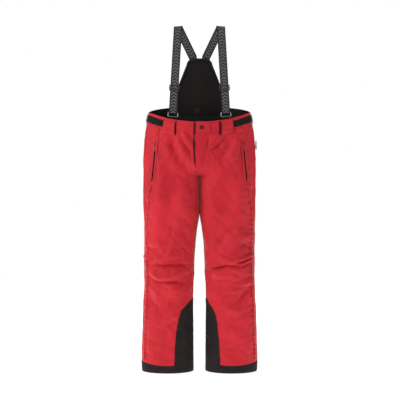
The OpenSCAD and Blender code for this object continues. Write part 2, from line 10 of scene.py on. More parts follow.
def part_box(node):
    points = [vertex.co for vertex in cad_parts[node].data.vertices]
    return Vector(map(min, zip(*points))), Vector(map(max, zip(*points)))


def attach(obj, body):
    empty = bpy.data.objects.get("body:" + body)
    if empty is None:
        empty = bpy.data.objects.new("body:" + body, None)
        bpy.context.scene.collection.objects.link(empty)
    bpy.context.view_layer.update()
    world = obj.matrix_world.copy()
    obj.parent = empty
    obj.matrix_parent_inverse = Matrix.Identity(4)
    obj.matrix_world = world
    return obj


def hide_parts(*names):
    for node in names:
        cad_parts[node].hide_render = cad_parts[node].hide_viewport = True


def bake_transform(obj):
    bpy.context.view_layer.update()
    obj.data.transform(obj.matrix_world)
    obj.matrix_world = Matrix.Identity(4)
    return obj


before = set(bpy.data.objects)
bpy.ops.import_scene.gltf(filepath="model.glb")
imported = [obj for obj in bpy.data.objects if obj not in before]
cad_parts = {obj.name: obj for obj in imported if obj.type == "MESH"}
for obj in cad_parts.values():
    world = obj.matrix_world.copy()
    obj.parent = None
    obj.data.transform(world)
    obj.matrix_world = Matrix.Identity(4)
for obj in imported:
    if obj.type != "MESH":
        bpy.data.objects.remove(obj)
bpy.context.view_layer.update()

MM = 0.001
WHITE = (1, 1, 1, 1)
SIDES = ((-1, "left"), (1, "right"))     # as seen from the front


def flip(side):
    """Turns the right half's points or directions into this side's."""
    return np.array([side, 1, 1])


def unit(v):
    """Each row, or the one vector, at length 1."""
    return v / np.linalg.norm(v, axis=-1, keepdims=True)


def distance_along(points):
    steps = np.linalg.norm(np.diff(points, axis=0), axis=1)
    return np.concatenate([[0], np.cumsum(steps)])


def sample(at, places, table):
    """The table's rows, interpolated at one place or many."""
    return np.stack([np.interp(at, places, table[:, c]) for c in range(table.shape[1])], -1)


def mm_box(node):
    """A node's lowest and highest corners in millimetres."""
    low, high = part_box(node)
    return np.array(low) / MM, np.array(high) / MM


# ---------------------------------------------------------------- camera, floor and light

CAMERA_AWAY = 2.5      # metres in front of the garment's middle plane
FRAME_W = 1.32         # metres that the picture covers at that plane
CAMERA_UP = -0.2894
SENSOR = 36.0


def add_camera():
    data = bpy.data.cameras.new("camera")
    data.sensor_width = SENSOR
    data.lens = SENSOR * CAMERA_AWAY / FRAME_W
    camera = bpy.data.objects.new("camera", data)
    camera.location = (0.0017, -CAMERA_AWAY, CAMERA_UP)
    camera.rotation_euler = (math.pi / 2, 0, 0)
    bpy.context.collection.objects.link(camera)
    bpy.context.scene.camera = camera


def area_light(name, place, aim, size, watts, tint=(1, 1, 1)):
    data = bpy.data.lights.new(name, "AREA")
    data.shape = "RECTANGLE"
    data.size, data.size_y = size
    data.energy = watts
    data.color = tint
    lamp = bpy.data.objects.new(name, data)
    lamp.location = place
    lamp.rotation_euler = (Vector(aim) - Vector(place)).to_track_quat("-Z", "Y").to_euler()
    bpy.context.collection.objects.link(lamp)


def add_lights():
    middle = (0, 0, -0.35)
    area_light("left softbox", (-2.2, -1.35, 1.0), middle, (0.9, 1.6), 49, (1, 0.975, 0.94))
    area_light("right softbox", (2.4, -1.2, 0.2), middle, (0.9, 2.0), 14)
    area_light("front fill", (0.5, -3.0, 1.3), middle, (2.0, 1.6), 7)
    area_light("top", (-0.2, -0.5, 2.4), middle, (1.6, 1.2), 12)
    area_light("back", (0.4, 2.6, 1.6), middle, (2.4, 1.6), 16)
    world = bpy.data.worlds.new("studio")
    world.use_nodes = True
    tree = world.node_tree
    path = tree.nodes.new("ShaderNodeLightPath")
    strength = tree.nodes.new("ShaderNodeMapRange")
    strength.inputs["To Min"].default_value = 0.15
    strength.inputs["To Max"].default_value = 1.0
    sky = tree.nodes["Background"]
    sky.inputs["Color"].default_value = WHITE
    tree.links.new(path.outputs["Is Camera Ray"], strength.inputs["Value"])
    tree.links.new(strength.outputs[0], sky.inputs["Strength"])
    bpy.context.scene.world = world
    bpy.context.scene.view_settings.view_transform = "Standard"


# ---------------------------------------------------------------- shader maths

class Wire:
    """A shader socket that Python's operators work on, each adding a Math node."""

    def __init__(self, maker, socket):
        self.maker = maker
        self.socket = socket

    def math(self, operation, other=None, swap=False):
        args = [self] if other is None else [other, self] if swap else [self, other]
        return self.maker.node("ShaderNodeMath", {"operation": operation}, dict(enumerate(args)))

    def __add__(self, other):
        return self.math("ADD", other)

    __radd__ = __add__

    def __mul__(self, other):
        return self.math("MULTIPLY", other)

    __rmul__ = __mul__

    def __sub__(self, other):
        return self.math("SUBTRACT", other)

    def __rsub__(self, other):
        return self.math("SUBTRACT", other, swap=True)

    def __truediv__(self, other):
        return self.math("DIVIDE", other)

    def __pow__(self, other):
        return self.math("POWER", other)

    def __gt__(self, other):
        return self.math("GREATER_THAN", other)

    def __lt__(self, other):
        return self.math("LESS_THAN", other)

    def __abs__(self):
        return self.math("ABSOLUTE")


class Finish:
    """One material: its Principled shader and the nodes that feed it."""

    def __init__(self, name, colour, roughness, **constants):
        self.material = bpy.data.materials.new(name)
        self.material.use_nodes = True
        self.tree = self.material.node_tree
        self.shader = self.tree.nodes["Principled BSDF"]
        self.material.diffuse_color = (*colour, 1)
        self.put(self.shader, {"Base Color": (*colour, 1), "Roughness": roughness})
        self.put(self.shader, constants)

    def put(self, node, inputs):
        for key, value in inputs.items():
            if isinstance(value, Wire):
                self.tree.links.new(value.socket, node.inputs[key])
            else:
                node.inputs[key].default_value = value

    def node(self, kind, settings=None, inputs=None, out=0):
        node = self.tree.nodes.new(kind)
        for key, value in (settings or {}).items():
            if key == "stops":
                ramp = node.color_ramp
                while len(ramp.elements) < len(value):
                    ramp.elements.new(0.5)
                for element, (place, colour) in zip(ramp.elements, value):
                    element.position = place
                    element.color = colour
            else:
                setattr(node, key, value)
        self.put(node, inputs or {})
        return Wire(self, node.outputs[out])

    def place(self):
        return self.node("ShaderNodeTexCoord", out="Object")

    def along(self):
        """The piece's own UV map, which is laid out in metres: across, then along."""
        uv = self.node("ShaderNodeUVMap", {"uv_map": "cloth"})
        xyz = self.tree.nodes.new("ShaderNodeSeparateXYZ")
        self.put(xyz, {"Vector": uv})
        return Wire(self, xyz.outputs["X"]), Wire(self, xyz.outputs["Y"])

    def noise(self, scale, detail=3.0, rough=0.55, at=None):
        return self.node("ShaderNodeTexNoise", {}, {"Vector": at or self.place(), "Scale": scale,
                                                   "Detail": detail, "Roughness": rough})

    def blend(self, share, dark, light):
        """A colour between two: each is a colour or another blend."""
        def colour(c):
            return c if isinstance(c, Wire) else (*c, 1)
        node = self.tree.nodes.new("ShaderNodeMix")
        node.data_type = "RGBA"
        self.put(node, {0: share, 6: colour(dark), 7: colour(light)})
        return Wire(self, node.outputs[2])

    def clamp(self, value, low, high, to_low=0.0, to_high=1.0):
        return self.node("ShaderNodeMapRange", {"interpolation_type": "SMOOTHSTEP"}, {
            "Value": value, "From Min": low, "From Max": high, "To Min": to_low, "To Max": to_high})

    def finish(self, colour=None, roughness=None, height=None, depth=0.0003, strength=0.5, crumple=None):
        if colour is not None:
            self.put(self.shader, {"Base Color": colour})
        if roughness is not None:
            self.put(self.shader, {"Roughness": roughness})
        if height is not None:
            under = {}
            if crumple is not None:
                under = {"Normal": self.node("ShaderNodeBump", {}, {"Height": crumple, "Distance": 0.004,
                                                                    "Strength": 0.55})}
            bump = self.node("ShaderNodeBump", {}, {"Height": height, "Distance": depth,
                                                    "Strength": strength, **under})
            self.put(self.shader, {"Normal": bump})
        return self.material


def weave(finish, pitch):
    """Height of a plain weave on the piece's own UV map."""
    across, along = finish.along()
    turn = 2 * math.pi / pitch
    warp = (across * turn).math("SINE")
    weft = (along * turn).math("SINE")
    return (warp * warp + weft * weft) * 0.5


def cloth_finish(name, dark, light, roughness, pitch, sheen=0.25, patch=9.0, crumple=False):
    """Woven cloth: two shades in soft patches, slubby threads, and the weave's own relief."""
    mid = tuple((a + b) / 2 for a, b in zip(dark, light))
    f = Finish(name, mid, roughness, **{"Sheen Weight": sheen, "Sheen Roughness": 0.45,
                                        "Sheen Tint": (1.0, 0.72, 0.62, 1.0),
                                        "Specular IOR Level": 0.18})
    across, along = f.along()
    cloud = f.noise(patch, 4.0)
    joined = f.node("ShaderNodeCombineXYZ", {}, {"X": across * 90, "Y": along * 900, "Z": 0.0})
    thread = f.noise(1.0, 2.0, at=joined)
    shade = f.clamp(cloud * 0.7 + thread * 0.15, 0.3, 0.62)
    woven = weave(f, pitch)
    fine = f.noise(700.0, 2.0)
    rough = f.clamp(cloud, 0.2, 0.8, roughness - 0.06, roughness + 0.07)
    soft = f.noise(26.0, 4.0, 0.6) if crumple else None
    relief = woven * 0.7 + fine * 0.3 + thread * 0.25
    return f.finish(f.blend(shade, dark, light), rough, relief, 0.00025, 0.6, soft)


def webbing_finish():
    """Ribbed webbing with a woven row of pale chevrons down its middle."""
    dark, grey = (0.010, 0.009, 0.009), (0.185, 0.172, 0.176)
    f = Finish("strap_webbing", dark, 0.75, **{"Sheen Weight": 0.06, "Specular IOR Level": 0.18})
    across, along = f.along()
    off = abs(across)
    step = ((along - off * 0.9) / 0.0105).math("FRACT")
    chevron = (step > 0.32) * (step < 0.78) * (off < 0.0082)
    second = (abs(off - 0.0098) < 0.0006)
    ink = (chevron + second * 0.6).math("MINIMUM", 1.0)
    rib = (along * (2 * math.pi / 0.0021)).math("SINE")
    ridge = (across * (2 * math.pi / 0.0018)).math("SINE")
    worn = f.clamp(f.noise(160.0, 3.0), 0.3, 0.75, 0.55, 1.0)
    lit = f.blend(f.noise(60.0), dark, (0.022, 0.020, 0.020))
    return f.finish(f.blend(ink * worn, lit, grey), None, rib * 0.6 + ridge * 0.4, 0.0004, 0.7)


def plastic_finish(name, colour, roughness):
    f = Finish(name, colour, roughness, **{"Specular IOR Level": 0.45})
    fine = f.noise(380.0, 3.0)
    cloud = f.noise(40.0, 2.0)
    light = tuple(min(1.0, c * 1.7 + 0.006) for c in colour)
    rough = f.clamp(cloud, 0.3, 0.7, roughness - 0.08, roughness + 0.1)
    return f.finish(f.blend(f.clamp(cloud, 0.35, 0.8), colour, light), rough, fine, 0.0001, 0.35)


def metal_finish(name, colour, roughness):
    f = Finish(name, colour, roughness, Metallic=1.0)
    scratch = f.noise(260.0, 4.0, 0.7)
    dull = tuple(c * 0.72 for c in colour)
    rough = f.clamp(scratch, 0.3, 0.75, roughness - 0.06, roughness + 0.16)
    return f.finish(f.blend(f.clamp(f.noise(30.0), 0.35, 0.7), dull, colour), rough, scratch, 0.00005, 0.4)


def hook_finish():
    """Hook-and-loop tape: a dense field of tiny black loops."""
    f = Finish("hook_tape", (0.012, 0.013, 0.014), 0.85, **{"Sheen Weight": 0.05, "Specular IOR Level": 0.2})
    spots = f.node("ShaderNodeTexVoronoi", {}, {"Vector": f.place(), "Scale": 850.0})
    fuzz = f.noise(420.0, 4.0)
    shade = f.clamp(spots + fuzz * 0.5, 0.2, 0.95)
    colour = f.blend(shade, (0.013, 0.013, 0.0135), (0.004, 0.004, 0.004))
    return f.finish(colour, None, fuzz - spots, 0.0006, 0.9)


# Key, name, dark and light shade, roughness, the weave's pitch, then sheen, patches and crumple
CLOTHS = (
    ("red", "shell_red", (0.500, 0.010, 0.022), (0.610, 0.018, 0.032), 0.54, 0.0011, 0.30, 9.0, True),
    ("dark_red", "keeper_red", (0.250, 0.006, 0.014), (0.370, 0.011, 0.022), 0.6, 0.0011),
    # painted shadow: a near-black red cloth, laid where only shade falls beside the front belt loops and
    # along the fly lap's edge
    ("painted_shade", "loop_under_red", (0.060, 0.002, 0.005), (0.110, 0.004, 0.008), 0.7, 0.0011),
    ("thread", "red_thread", (0.420, 0.012, 0.026), (0.560, 0.030, 0.045), 0.5, 0.0006),
    ("black_thread", "black_thread", (0.020, 0.018, 0.018), (0.038, 0.034, 0.034), 0.6, 0.0006),
    ("trim", "trim_black", (0.0105, 0.0068, 0.0068), (0.017, 0.0115, 0.0115), 0.66, 0.0014, 0.04, 14.0),
    ("bib", "bib_black", (0.0080, 0.0064, 0.0062), (0.013, 0.0105, 0.0100), 0.78, 0.0012, 0.04, 12.0),
    ("lining", "lining_black", (0.011, 0.010, 0.010), (0.019, 0.017, 0.017), 0.5, 0.0007, 0.1),
    ("gaiter", "gaiter_black", (0.014, 0.013, 0.013), (0.024, 0.022, 0.022), 0.48, 0.0009, 0.1),
    ("wadding", "wadding_white", (0.74, 0.74, 0.71), (0.88, 0.88, 0.86), 0.9, 0.004, 0.3, 30.0),
    ("zip", "zip_black", (0.010, 0.009, 0.009), (0.020, 0.018, 0.018), 0.66, 0.0008),
    ("label", "tag_white", (0.70, 0.72, 0.72), (0.86, 0.87, 0.87), 0.6, 0.0006),
    ("label_mark", "tag_teal", (0.20, 0.30, 0.30), (0.28, 0.39, 0.38), 0.6, 0.0006),
    ("care", "care_label", (0.045, 0.030, 0.034), (0.075, 0.050, 0.055), 0.6, 0.0006),
)


def make_finishes():
    finishes = {key: cloth_finish(*row) for key, *row in CLOTHS}
    finishes["webbing"] = webbing_finish()
    finishes["hook"] = hook_finish()
    finishes["gunmetal"] = metal_finish("gunmetal", (0.060, 0.063, 0.066), 0.36)
    finishes["steel"] = metal_finish("steel", (0.50, 0.50, 0.52), 0.26)
    finishes["buckle"] = plastic_finish("buckle_black", (0.016, 0.016, 0.017), 0.38)
    finishes["pull"] = plastic_finish("pull_red", (0.22, 0.006, 0.014), 0.6)
    return finishes


# ---------------------------------------------------------------- the garment's surface

HEM_Z = float(mm_box("hem_band_right")[0][2])
CROTCH_Z = -209.0
WAIST_W = 166.0
WAIST_D = 62.0
BAND_H = 39.0

OUTER = ((HEM_Z, 188), (-830, 191), (-780, 190), (-712, 188), (-633, 185), (-560, 182), (-360, 182),
         (-330, 184.5), (-157, 184.5), (-98, 181.5), (-39, 175), (0, 166), (40, 162))
INNER = ((HEM_Z, 20), (-633, 21.5), (-560, 19.5), (-534, 17), (-494, 16.5), (-454, 15), (-415, 11.5),
         (-375, 6.6), (-345, 1.2), (-332, -0.3), (CROTCH_Z, -0.3))
FRONT = ((HEM_Z, 53), (-620, 56), (-500, 67), (-400, 69), (-300, 71), (-175, 71.5), (-37, 65.5), (0, 62))
BACK = ((HEM_Z, 57), (-620, 62), (-500, 60), (-400, 68), (-300, 78), (-209, 86), (-110, 80), (0, 62),
        (40, 62))
SOFTEN = (-18.0, -9.0, 0.0, 9.0, 18.0)     # heights averaged so that the outlines have no corners


def outline(z, table, soft=True):
    zs, values = np.array(table).T
    if not soft:
        return np.interp(z, zs, values)
    return sum(np.interp(z + s, zs, values) for s in SOFTEN) / len(SOFTEN)


def smooth(v):
    c = np.clip(v, 0, 1)
    return c * c * (3 - 2 * c)


MEET = -0.2            # the two halves press together this far past the middle


def trunk(t, z, d):
    a = np.pi * (t - 0.5)
    r = np.where(t > 0.5, outline(z, BACK), outline(z, FRONT)) - d
    return np.stack([(outline(z, OUTER) - d - MEET) * np.cos(a) + MEET, r * np.sin(a), z], -1)


def leg(t, z, d):
    a = 2 * np.pi * (t - 0.5)
    xo, xi = outline(z, OUTER), outline(z, INNER, False)
    r = np.where((t > 0.5) | (t < 0), outline(z, BACK), outline(z, FRONT)) - d
    return np.stack([(xo + xi) / 2 + ((xo - xi) / 2 - d) * np.cos(a), r * np.sin(a), z], -1)


RISE_TOP = -175.0


def leg_share(t, z):
    near = np.minimum(np.abs(t), np.abs(1 - t))
    s = np.clip((RISE_TOP - z) / (RISE_TOP - CROTCH_Z), 0, 1)
    seam = 1 - np.sqrt(1 - s * s)
    slow = smooth((-120 - z) / 180)
    e = np.exp(-(near / 0.08) ** 2)
    return slow * (1 - e) + seam * e


def smooth_body(t, z, d):
    """The right half's surface with no folds: t runs from the centre front round to the back."""
    w = leg_share(t, z)[..., None]
    return trunk(t, z, d) * (1 - w) + leg(t, z, d) * w


def rise(t):
    t = np.clip(t, 0, 1)
    front = -37 * np.maximum(0, np.cos(np.pi * t)) ** 1.8
    return np.where(t < 0.5, front, -24 * np.cos(np.pi * t))


def row_z(t, row):
    return row + rise(t) * (1 - smooth((-40 - row) / 140))


# ---------------------------------------------------------------- folds and puckers
# Each fold is (height, half width, points across and up the front), in millimetres. A ridge
# has a positive height and a groove a negative one. They fade out towards their ends.

FOLDS = {
    -1: (
        (-3.2, 3.0, ((-13, -70), (-12.5, -120), (-11, -172))),
        (-3.0, 3.2, ((-9, -168), (-6, -196), (-2, -222))),
        (2.2, 5.0, ((-20, -80), (-19, -130), (-16, -170))),
        (5, 13, ((-78, -78), (-62, -118), (-42, -150), (-12, -178))),
        (-6, 14, ((-94, -70), (-84, -115), (-64, -160), (-34, -188), (-8, -196))),
        (4, 9, ((-58, -66), (-40, -95), (-12, -124))),
        (-4, 8, ((-66, -84), (-44, -118), (-14, -146))),
        (-3, 7, ((-40, -66), (-26, -84), (-10, -98))),
        (3, 22, ((-128, -120), (-126, -230), (-134, -340), (-140, -430))),
        (-5, 24, ((-74, -205), (-92, -290), (-104, -370), (-92, -430))),
        (3, 20, ((-44, -220), (-48, -300), (-56, -360))),
        (-4, 10, ((-60, -372), (-42, -410), (-24, -450))),
        (-4, 6, ((-60, -440), (-44, -448), (-36, -466))),
        (6, 9, ((-156, -488), (-120, -478), (-86, -470), (-58, -466))),
        (-7, 7, ((-164, -497), (-120, -501), (-80, -499), (-34, -497))),
        (6, 8, ((-166, -508), (-146, -532), (-128, -542), (-98, -536), (-66, -524), (-30, -514))),
        (-6, 7, ((-168, -528), (-144, -552), (-110, -554), (-70, -552), (-42, -562))),
        (4, 14, ((-104, -568), (-74, -582), (-44, -590))),
        (3, 10, ((-166, -432), (-142, -428), (-120, -436))),
        (-3, 9, ((-172, -446), (-148, -452), (-122, -450))),
        (3, 11, ((-158, -566), (-140, -590), (-134, -612))),
        (-4, 12, ((-170, -592), (-152, -620), (-128, -646))),
        (4, 10, ((-62, -654), (-92, -668), (-124, -688))),
        (-3, 13, ((-70, -672), (-100, -696), (-120, -720))),
        (3, 26, ((-142, -660), (-150, -740), (-156, -800))),
        (-3, 18, ((-112, -730), (-114, -780), (-112, -815))),
    ),
    1: (
        (4, 9, ((74, -74), (52, -96), (28, -122))),
        (-4, 8, ((84, -82), (60, -108), (36, -136))),
        (-5, 16, ((112, -72), (100, -104), (78, -140), (46, -168))),
        (4, 14, ((122, -84), (112, -128), (92, -170))),
        (-3, 6, ((27, -78), (24, -104), (17, -130))),
        (3, 20, ((20, -205), (34, -270), (46, -330), (60, -380))),
        (-4, 26, ((84, -210), (92, -290), (86, -350))),
        (3, 22, ((126, -190), (132, -280), (128, -350))),
        (-5, 12, ((118, -366), (100, -384), (76, -404), (58, -432))),
        (4, 12, ((140, -372), (122, -396), (104, -424), (84, -452))),
        (4, 7, ((56, -470), (84, -480), (114, -490))),
        (-7, 7, ((30, -520), (54, -508), (84, -501), (118, -503), (146, -506))),
        (5, 8, ((34, -504), (62, -492), (88, -488))),
        (-6, 5, ((112, -492), (142, -486), (172, -474))),
        (5, 5, ((118, -484), (146, -478), (172, -466))),
        (-5, 5, ((132, -506), (154, -496), (174, -486))),
        (4, 6, ((138, -498), (158, -490), (174, -480))),
        (4, 10, ((126, -412), (150, -404), (172, -408))),
        (-4, 8, ((134, -428), (156, -436), (172, -452))),
        (4, 12, ((40, -536), (64, -530), (90, -538))),
        (-3, 8, ((34, -550), (60, -546), (82, -556))),
        (4, 8, ((136, -566), (156, -556), (172, -554))),
        (-4, 10, ((164, -566), (152, -584), (134, -606), (114, -630))),
        (3, 12, ((78, -640), (112, -648), (144, -642))),
        (-3, 12, ((84, -656), (116, -666), (146, -660))),
        (3, 12, ((76, -718), (96, -708), (120, -706))),
        (3, 24, ((150, -640), (156, -720), (160, -800))),
        (-3, 20, ((100, -720), (104, -770), (108, -815))),
    ),
}
BACK_FOLDS = (
    (5, 16, ((30, -190), (80, -204), (128, -196), (164, -176))),
    (-5, 14, ((26, -212), (76, -228), (126, -222), (166, -204))),
    (4, 16, ((40, -250), (86, -262), (130, -256))),
    (5, 12, ((40, -476), (84, -488), (132, -482), (166, -470))),
    (-7, 9, ((30, -494), (80, -506), (130, -501), (170, -490))),
    (5, 11, ((40, -520), (90, -528), (140, -518))),
    (-5, 9, ((50, -540), (92, -550), (136, -542))),
    (4, 18, ((90, -300), (96, -380), (92, -440))),
    (-4, 20, ((130, -280), (136, -360), (130, -430))),
    (4, 22, ((80, -600), (78, -690), (84, -780))),
    (-4, 20, ((128, -620), (132, -700), (130, -790))),
)


def polyline_bump(x, z, height, width, points):
    """A rounded ridge or groove along a line, fading towards both ends."""
    points = np.array(points, float)
    lengths = np.linalg.norm(np.diff(points, axis=0), axis=1)
    starts = np.concatenate([[0], np.cumsum(lengths)])
    best = np.full(x.shape, 1e9)
    share = np.zeros(x.shape)
    for k, (a, b) in enumerate(zip(points[:-1], points[1:])):
        ab = b - a
        s = np.clip(((x - a[0]) * ab[0] + (z - a[1]) * ab[1]) / (ab @ ab), 0, 1)
        gap = np.hypot(x - a[0] - s * ab[0], z - a[1] - s * ab[1])
        nearer = gap < best
        best = np.where(nearer, gap, best)
        share = np.where(nearer, (starts[k] + s * lengths[k]) / starts[-1], share)
    ends = smooth(np.minimum(share, 1 - share) / 0.3) * 0.85 + 0.15
    return height * np.exp(-(best / width) ** 2) * ends


FOLD_SCALE = 1.7
SEAM_T = 0.408         # the puckered side seam, a little forward of the silhouette
SEAM_PUCKER = 1.3


def seam_t(z):
    """Where the visible side seam runs: it leaves the pocket's lower end and drops to the hem."""
    return np.interp(z, (-340, -231, -209, -178, -135, -110, -87),
                     (SEAM_T, 0.352, 0.3375, 0.3145, 0.29, 0.2845, 0.283))


def ripple(t, z, side):
    """Small irregular waves in the cloth, of a few sizes, the same at every run."""
    waves = np.random.default_rng(11 if side < 0 else 23)
    total = np.zeros(t.shape)
    for size, height, count in ((120, 1.5, 6), (55, 1.2, 8), (26, 0.6, 10)):
        for _ in range(count):
            angle = waves.uniform(0, 2 * np.pi)
            phase = waves.uniform(0, 2 * np.pi)
            k = 2 * np.pi / (size * waves.uniform(0.75, 1.3))
            total = total + height / math.sqrt(count) * np.sin(
                k * (t * 560 * np.cos(angle) + z * np.sin(angle)) + phase)
    return total


# Zones of short creases: middle height, its spread, nearest and furthest x, angle up from
# level and its spread in degrees, count, height and half width
CREASES = (
    (-495, 34, 24, 168, 8, 24, 17, 2.6, 4.5),
    (-440, 40, 60, 160, -28, 30, 9, 2.0, 5.0),
    (-560, 44, 60, 160, 18, 30, 9, 2.0, 5.5),
    (-128, 34, 16, 90, -52, 14, 9, 2.2, 5.5),
    (-180, 36, 130, 165, 84, 12, 8, 1.8, 4.0),
    (-300, 70, 30, 150, -62, 24, 9, 1.6, 7.0),
    (-690, 80, 90, 168, 34, 40, 9, 1.8, 7.0),
)


def crease_lines(side, back):
    """Short slightly bent creases, scattered the same way at every run."""
    pick = np.random.default_rng(101 + 10 * (side > 0) + back)
    lines = []
    for mid, spread, near, far, angle, wobble, count, height, width in CREASES:
        for _ in range(count):
            x, z = pick.uniform(near, far), pick.normal(mid, spread)
            turn = math.radians(pick.normal(angle, wobble))
            reach = pick.uniform(14, 40)
            bend = pick.uniform(-0.35, 0.35)
            points = [(x + reach * k * math.cos(turn + bend * k), z + reach * k * math.sin(turn + bend * k))
                      for k in (-1, -0.5, 0, 0.5, 1)]
            sign = 1 if pick.random() < 0.45 else -1
            lines.append((sign * height * pick.uniform(0.6, 1.2), width * pick.uniform(0.8, 1.4), points))
    return lines


def folds(t, z, side, place):
    """How far the cloth stands out from its smooth shape at each point, in millimetres."""
    x = place[..., 0] * side
    front = t < 0.5
    out = ripple(t, z, side) * (1 - 0.7 * np.exp(-((t - 0.5) / 0.07) ** 2))
    total = np.zeros(t.shape)
    for height, width, points in FOLDS[side]:
        total = total + np.where(front, polyline_bump(x, z, FOLD_SCALE * height, width, points), 0)
    for height, width, points in BACK_FOLDS:
        total = total + np.where(front, 0, polyline_bump(place[..., 0], z, height, width, points))
    for height, width, points in crease_lines(side, 0):
        mirrored = [(side * px, pz) for px, pz in points]
        total = total + np.where(front, polyline_bump(x, z, height, width, mirrored), 0)
    for height, width, points in crease_lines(side, 1):
        total = total + np.where(front, 0, polyline_bump(place[..., 0], z, height, width, points))
    from_seam = (t - seam_t(z)) * 520
    beat = np.sin(z * 2 * np.pi / 17 + 2 * np.sin(z / 31)) + 0.5 * np.sin(z * 2 * np.pi / 9.3 + side)
    pucker = SEAM_PUCKER * beat * np.exp(-(from_seam / 13) ** 2)
    groove = -3.4 * np.exp(-(from_seam / 2.6) ** 2) + 1.3 * np.exp(-((np.abs(from_seam) - 6.5) / 4) ** 2)
    upright = 1.5 * np.sin(t * 2 * np.pi / 0.031 + z / 60) * np.exp(-((t - 0.45) / 0.06) ** 2)
    upright = upright * smooth((z + 420) / 120)
    back_seam = -2.0 * np.exp(-((1 - t) * 400 / 2.5) ** 2) * smooth((z - CROTCH_Z) / 30)
    inseam = -1.8 * np.exp(-(np.minimum(t, 1 - t) * 560 / 2.5) ** 2) * smooth((-360 - z) / 30)
    at_pocket = smooth((z + 246) / 12) * smooth((-84 - z) / 12)
    by_pocket = 1 - at_pocket * np.exp(-(from_seam / 13) ** 4)
    total = (total + out + pucker) * by_pocket + groove * (1 - at_pocket) + upright + back_seam + inseam
    calm = smooth((-40 - z) / 26) * smooth((z - HEM_Z - 26) / 22)
    crotch = 1 - 0.85 * np.exp(-(np.minimum(np.abs(t), np.abs(1 - t)) / 0.05) ** 2)
    return total * calm * crotch


STEP_T = 0.002
STEP_Z = 1.0


def body_normal(t, z):
    across = smooth_body(t + STEP_T, z, 0.0) - smooth_body(t - STEP_T, z, 0.0)
    up = smooth_body(t, z + STEP_Z, 0.0) - smooth_body(t, z - STEP_Z, 0.0)
    normal = np.cross(across, up)
    return normal / np.maximum(np.linalg.norm(normal, axis=-1, keepdims=True), 1e-9)


def garment(t, z, d, side, fold=1.0):
    """A point on a layer of the garment, d millimetres under the face, with its folds."""
    t, z = np.broadcast_arrays(np.asarray(t, float), np.asarray(z, float))
    place = smooth_body(t, z, 0.0)
    normal = body_normal(t, z)
    place = place + normal * (fold * folds(t, z, side, place) - d)[..., None] if np.ndim(d) else \
        place + normal * (fold * folds(t, z, side, place)[..., None] - d)
    return place * flip(side)


# ---------------------------------------------------------------- mesh helpers

SHARP = math.radians(48)


def new_object(name, mesh, finish, body="root", replaces=()):
    mesh.materials.append(finish)
    obj = bpy.data.objects.new(name, mesh)
    bpy.context.collection.objects.link(obj)
    if replaces:
        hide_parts(*replaces)
    if body:
        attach(obj, body)
    return obj


def settle(bm, name):
    """Turns the faces outwards and hands back a smooth-shaded mesh."""
    bmesh.ops.recalc_face_normals(bm, faces=bm.faces)
    mesh = bpy.data.meshes.new(name)
    bm.to_mesh(mesh)
    bm.free()
    mesh.shade_smooth()
    mesh.set_sharp_from_angle(angle=SHARP)
    return mesh


def new_grid(counts):
    bm = bmesh.new()
    bm.loops.layers.uv.new("cloth")
    bmesh.ops.create_grid(bm, x_segments=counts[0], y_segments=counts[1], size=0.5)
    return bm


def tube(counts, shape, size, merge):
    """A closed tube with capped ends: u runs round it and v along it."""
    bm = new_grid(counts)
    map_grid(bm, shape, size)
    bmesh.ops.remove_doubles(bm, verts=bm.verts, dist=merge)
    bmesh.ops.holes_fill(bm, edges=[e for e in bm.edges if e.is_boundary], sides=0)
    return bm


def take_in(bm, part):
    """Adds the whole of part to bm."""
    scrap = bpy.data.meshes.new("scrap")
    part.to_mesh(scrap)
    part.free()
    bm.from_mesh(scrap)


def map_grid(bm, shape, size):
    """Sends a unit grid's points through shape(u, v) in millimetres; size is its UV's extent in metres."""
    bm.verts.ensure_lookup_table()
    flat = np.array([v.co for v in bm.verts])
    places = shape(flat[:, 0] + 0.5, flat[:, 1] + 0.5) * MM
    layer = bm.loops.layers.uv["cloth"]
    for face in bm.faces:
        for loop in face.loops:
            flat_co = loop.vert.co
            loop[layer].uv = (flat_co.x * size[0], (flat_co.y + 0.5) * size[1])
    for vert, place in zip(bm.verts, places):
        vert.co = place


def cloth_grid(name, counts, shape, size, thick, close=False):
    """A sheet of cloth: a grid sent through shape(u, v), u to the right and v up, then thickened."""
    bm = new_grid(counts)
    map_grid(bm, shape, size)
    if close:
        bmesh.ops.remove_doubles(bm, verts=bm.verts, dist=1e-5)
    if thick:
        bmesh.ops.solidify(bm, geom=bm.faces, thickness=thick * MM)
    return settle(bm, name)


def side_name(side):
    return "left" if side < 0 else "right"


def cloth(name, counts, shape, size, thick, finish, node=None, body="root", close=False):
    """A sheet of cloth as an object: it rides on body and stands for the CAD node, where named."""
    mesh = cloth_grid(name, counts, shape, size, thick, close)
    return new_object(name, mesh, FINISH[finish], body, [node] if node else ())


def half_shape(t0, t1, bottom, top, d, side, fold=1.0):
    """The shape of a piece between two columns and two rows; both halves have u to the viewer's right."""
    def shape(u, v):
        share = u if side > 0 else 1 - u
        start = t0(v) if callable(t0) else t0
        t = start + (t1 - start) * share
        low = bottom(t) if callable(bottom) else bottom
        high = top(t) if callable(top) else top
        z = low + (high - low) * v
        return garment(t, z, d(t, z) if callable(d) else d, side, fold)
    return shape


# ---------------------------------------------------------------- legs

BAND_BOTTOM = -BAND_H
SHELL_T = 1.5
SLOT_HALF = 0.0108     # half of the pocket's slot, as a share of the way round
SLOT_TOP, SLOT_END = -99.0, -229.0


def panel_top(t):
    return row_z(t, BAND_BOTTOM + 1.0)


def hem_line(t):
    """Top of the black hem band: it dips at the front and back."""
    return HEM_Z + 34 - 10 * np.sin(2 * np.pi * t) ** 2


FLY_HALF = 7.0         # the fronts stand this far from the middle over the fly's zip


def open_fly(place):
    """Parts the two fronts over the zip, under the flap."""
    x, z = place[..., 0], place[..., 2]
    apart = FLY_HALF * smooth((z + 187) / 13) * np.clip(1 - np.abs(x) / 32, 0, 1)
    return place + np.stack([np.sign(x.mean()) * apart, 0 * x, 0 * x], -1)


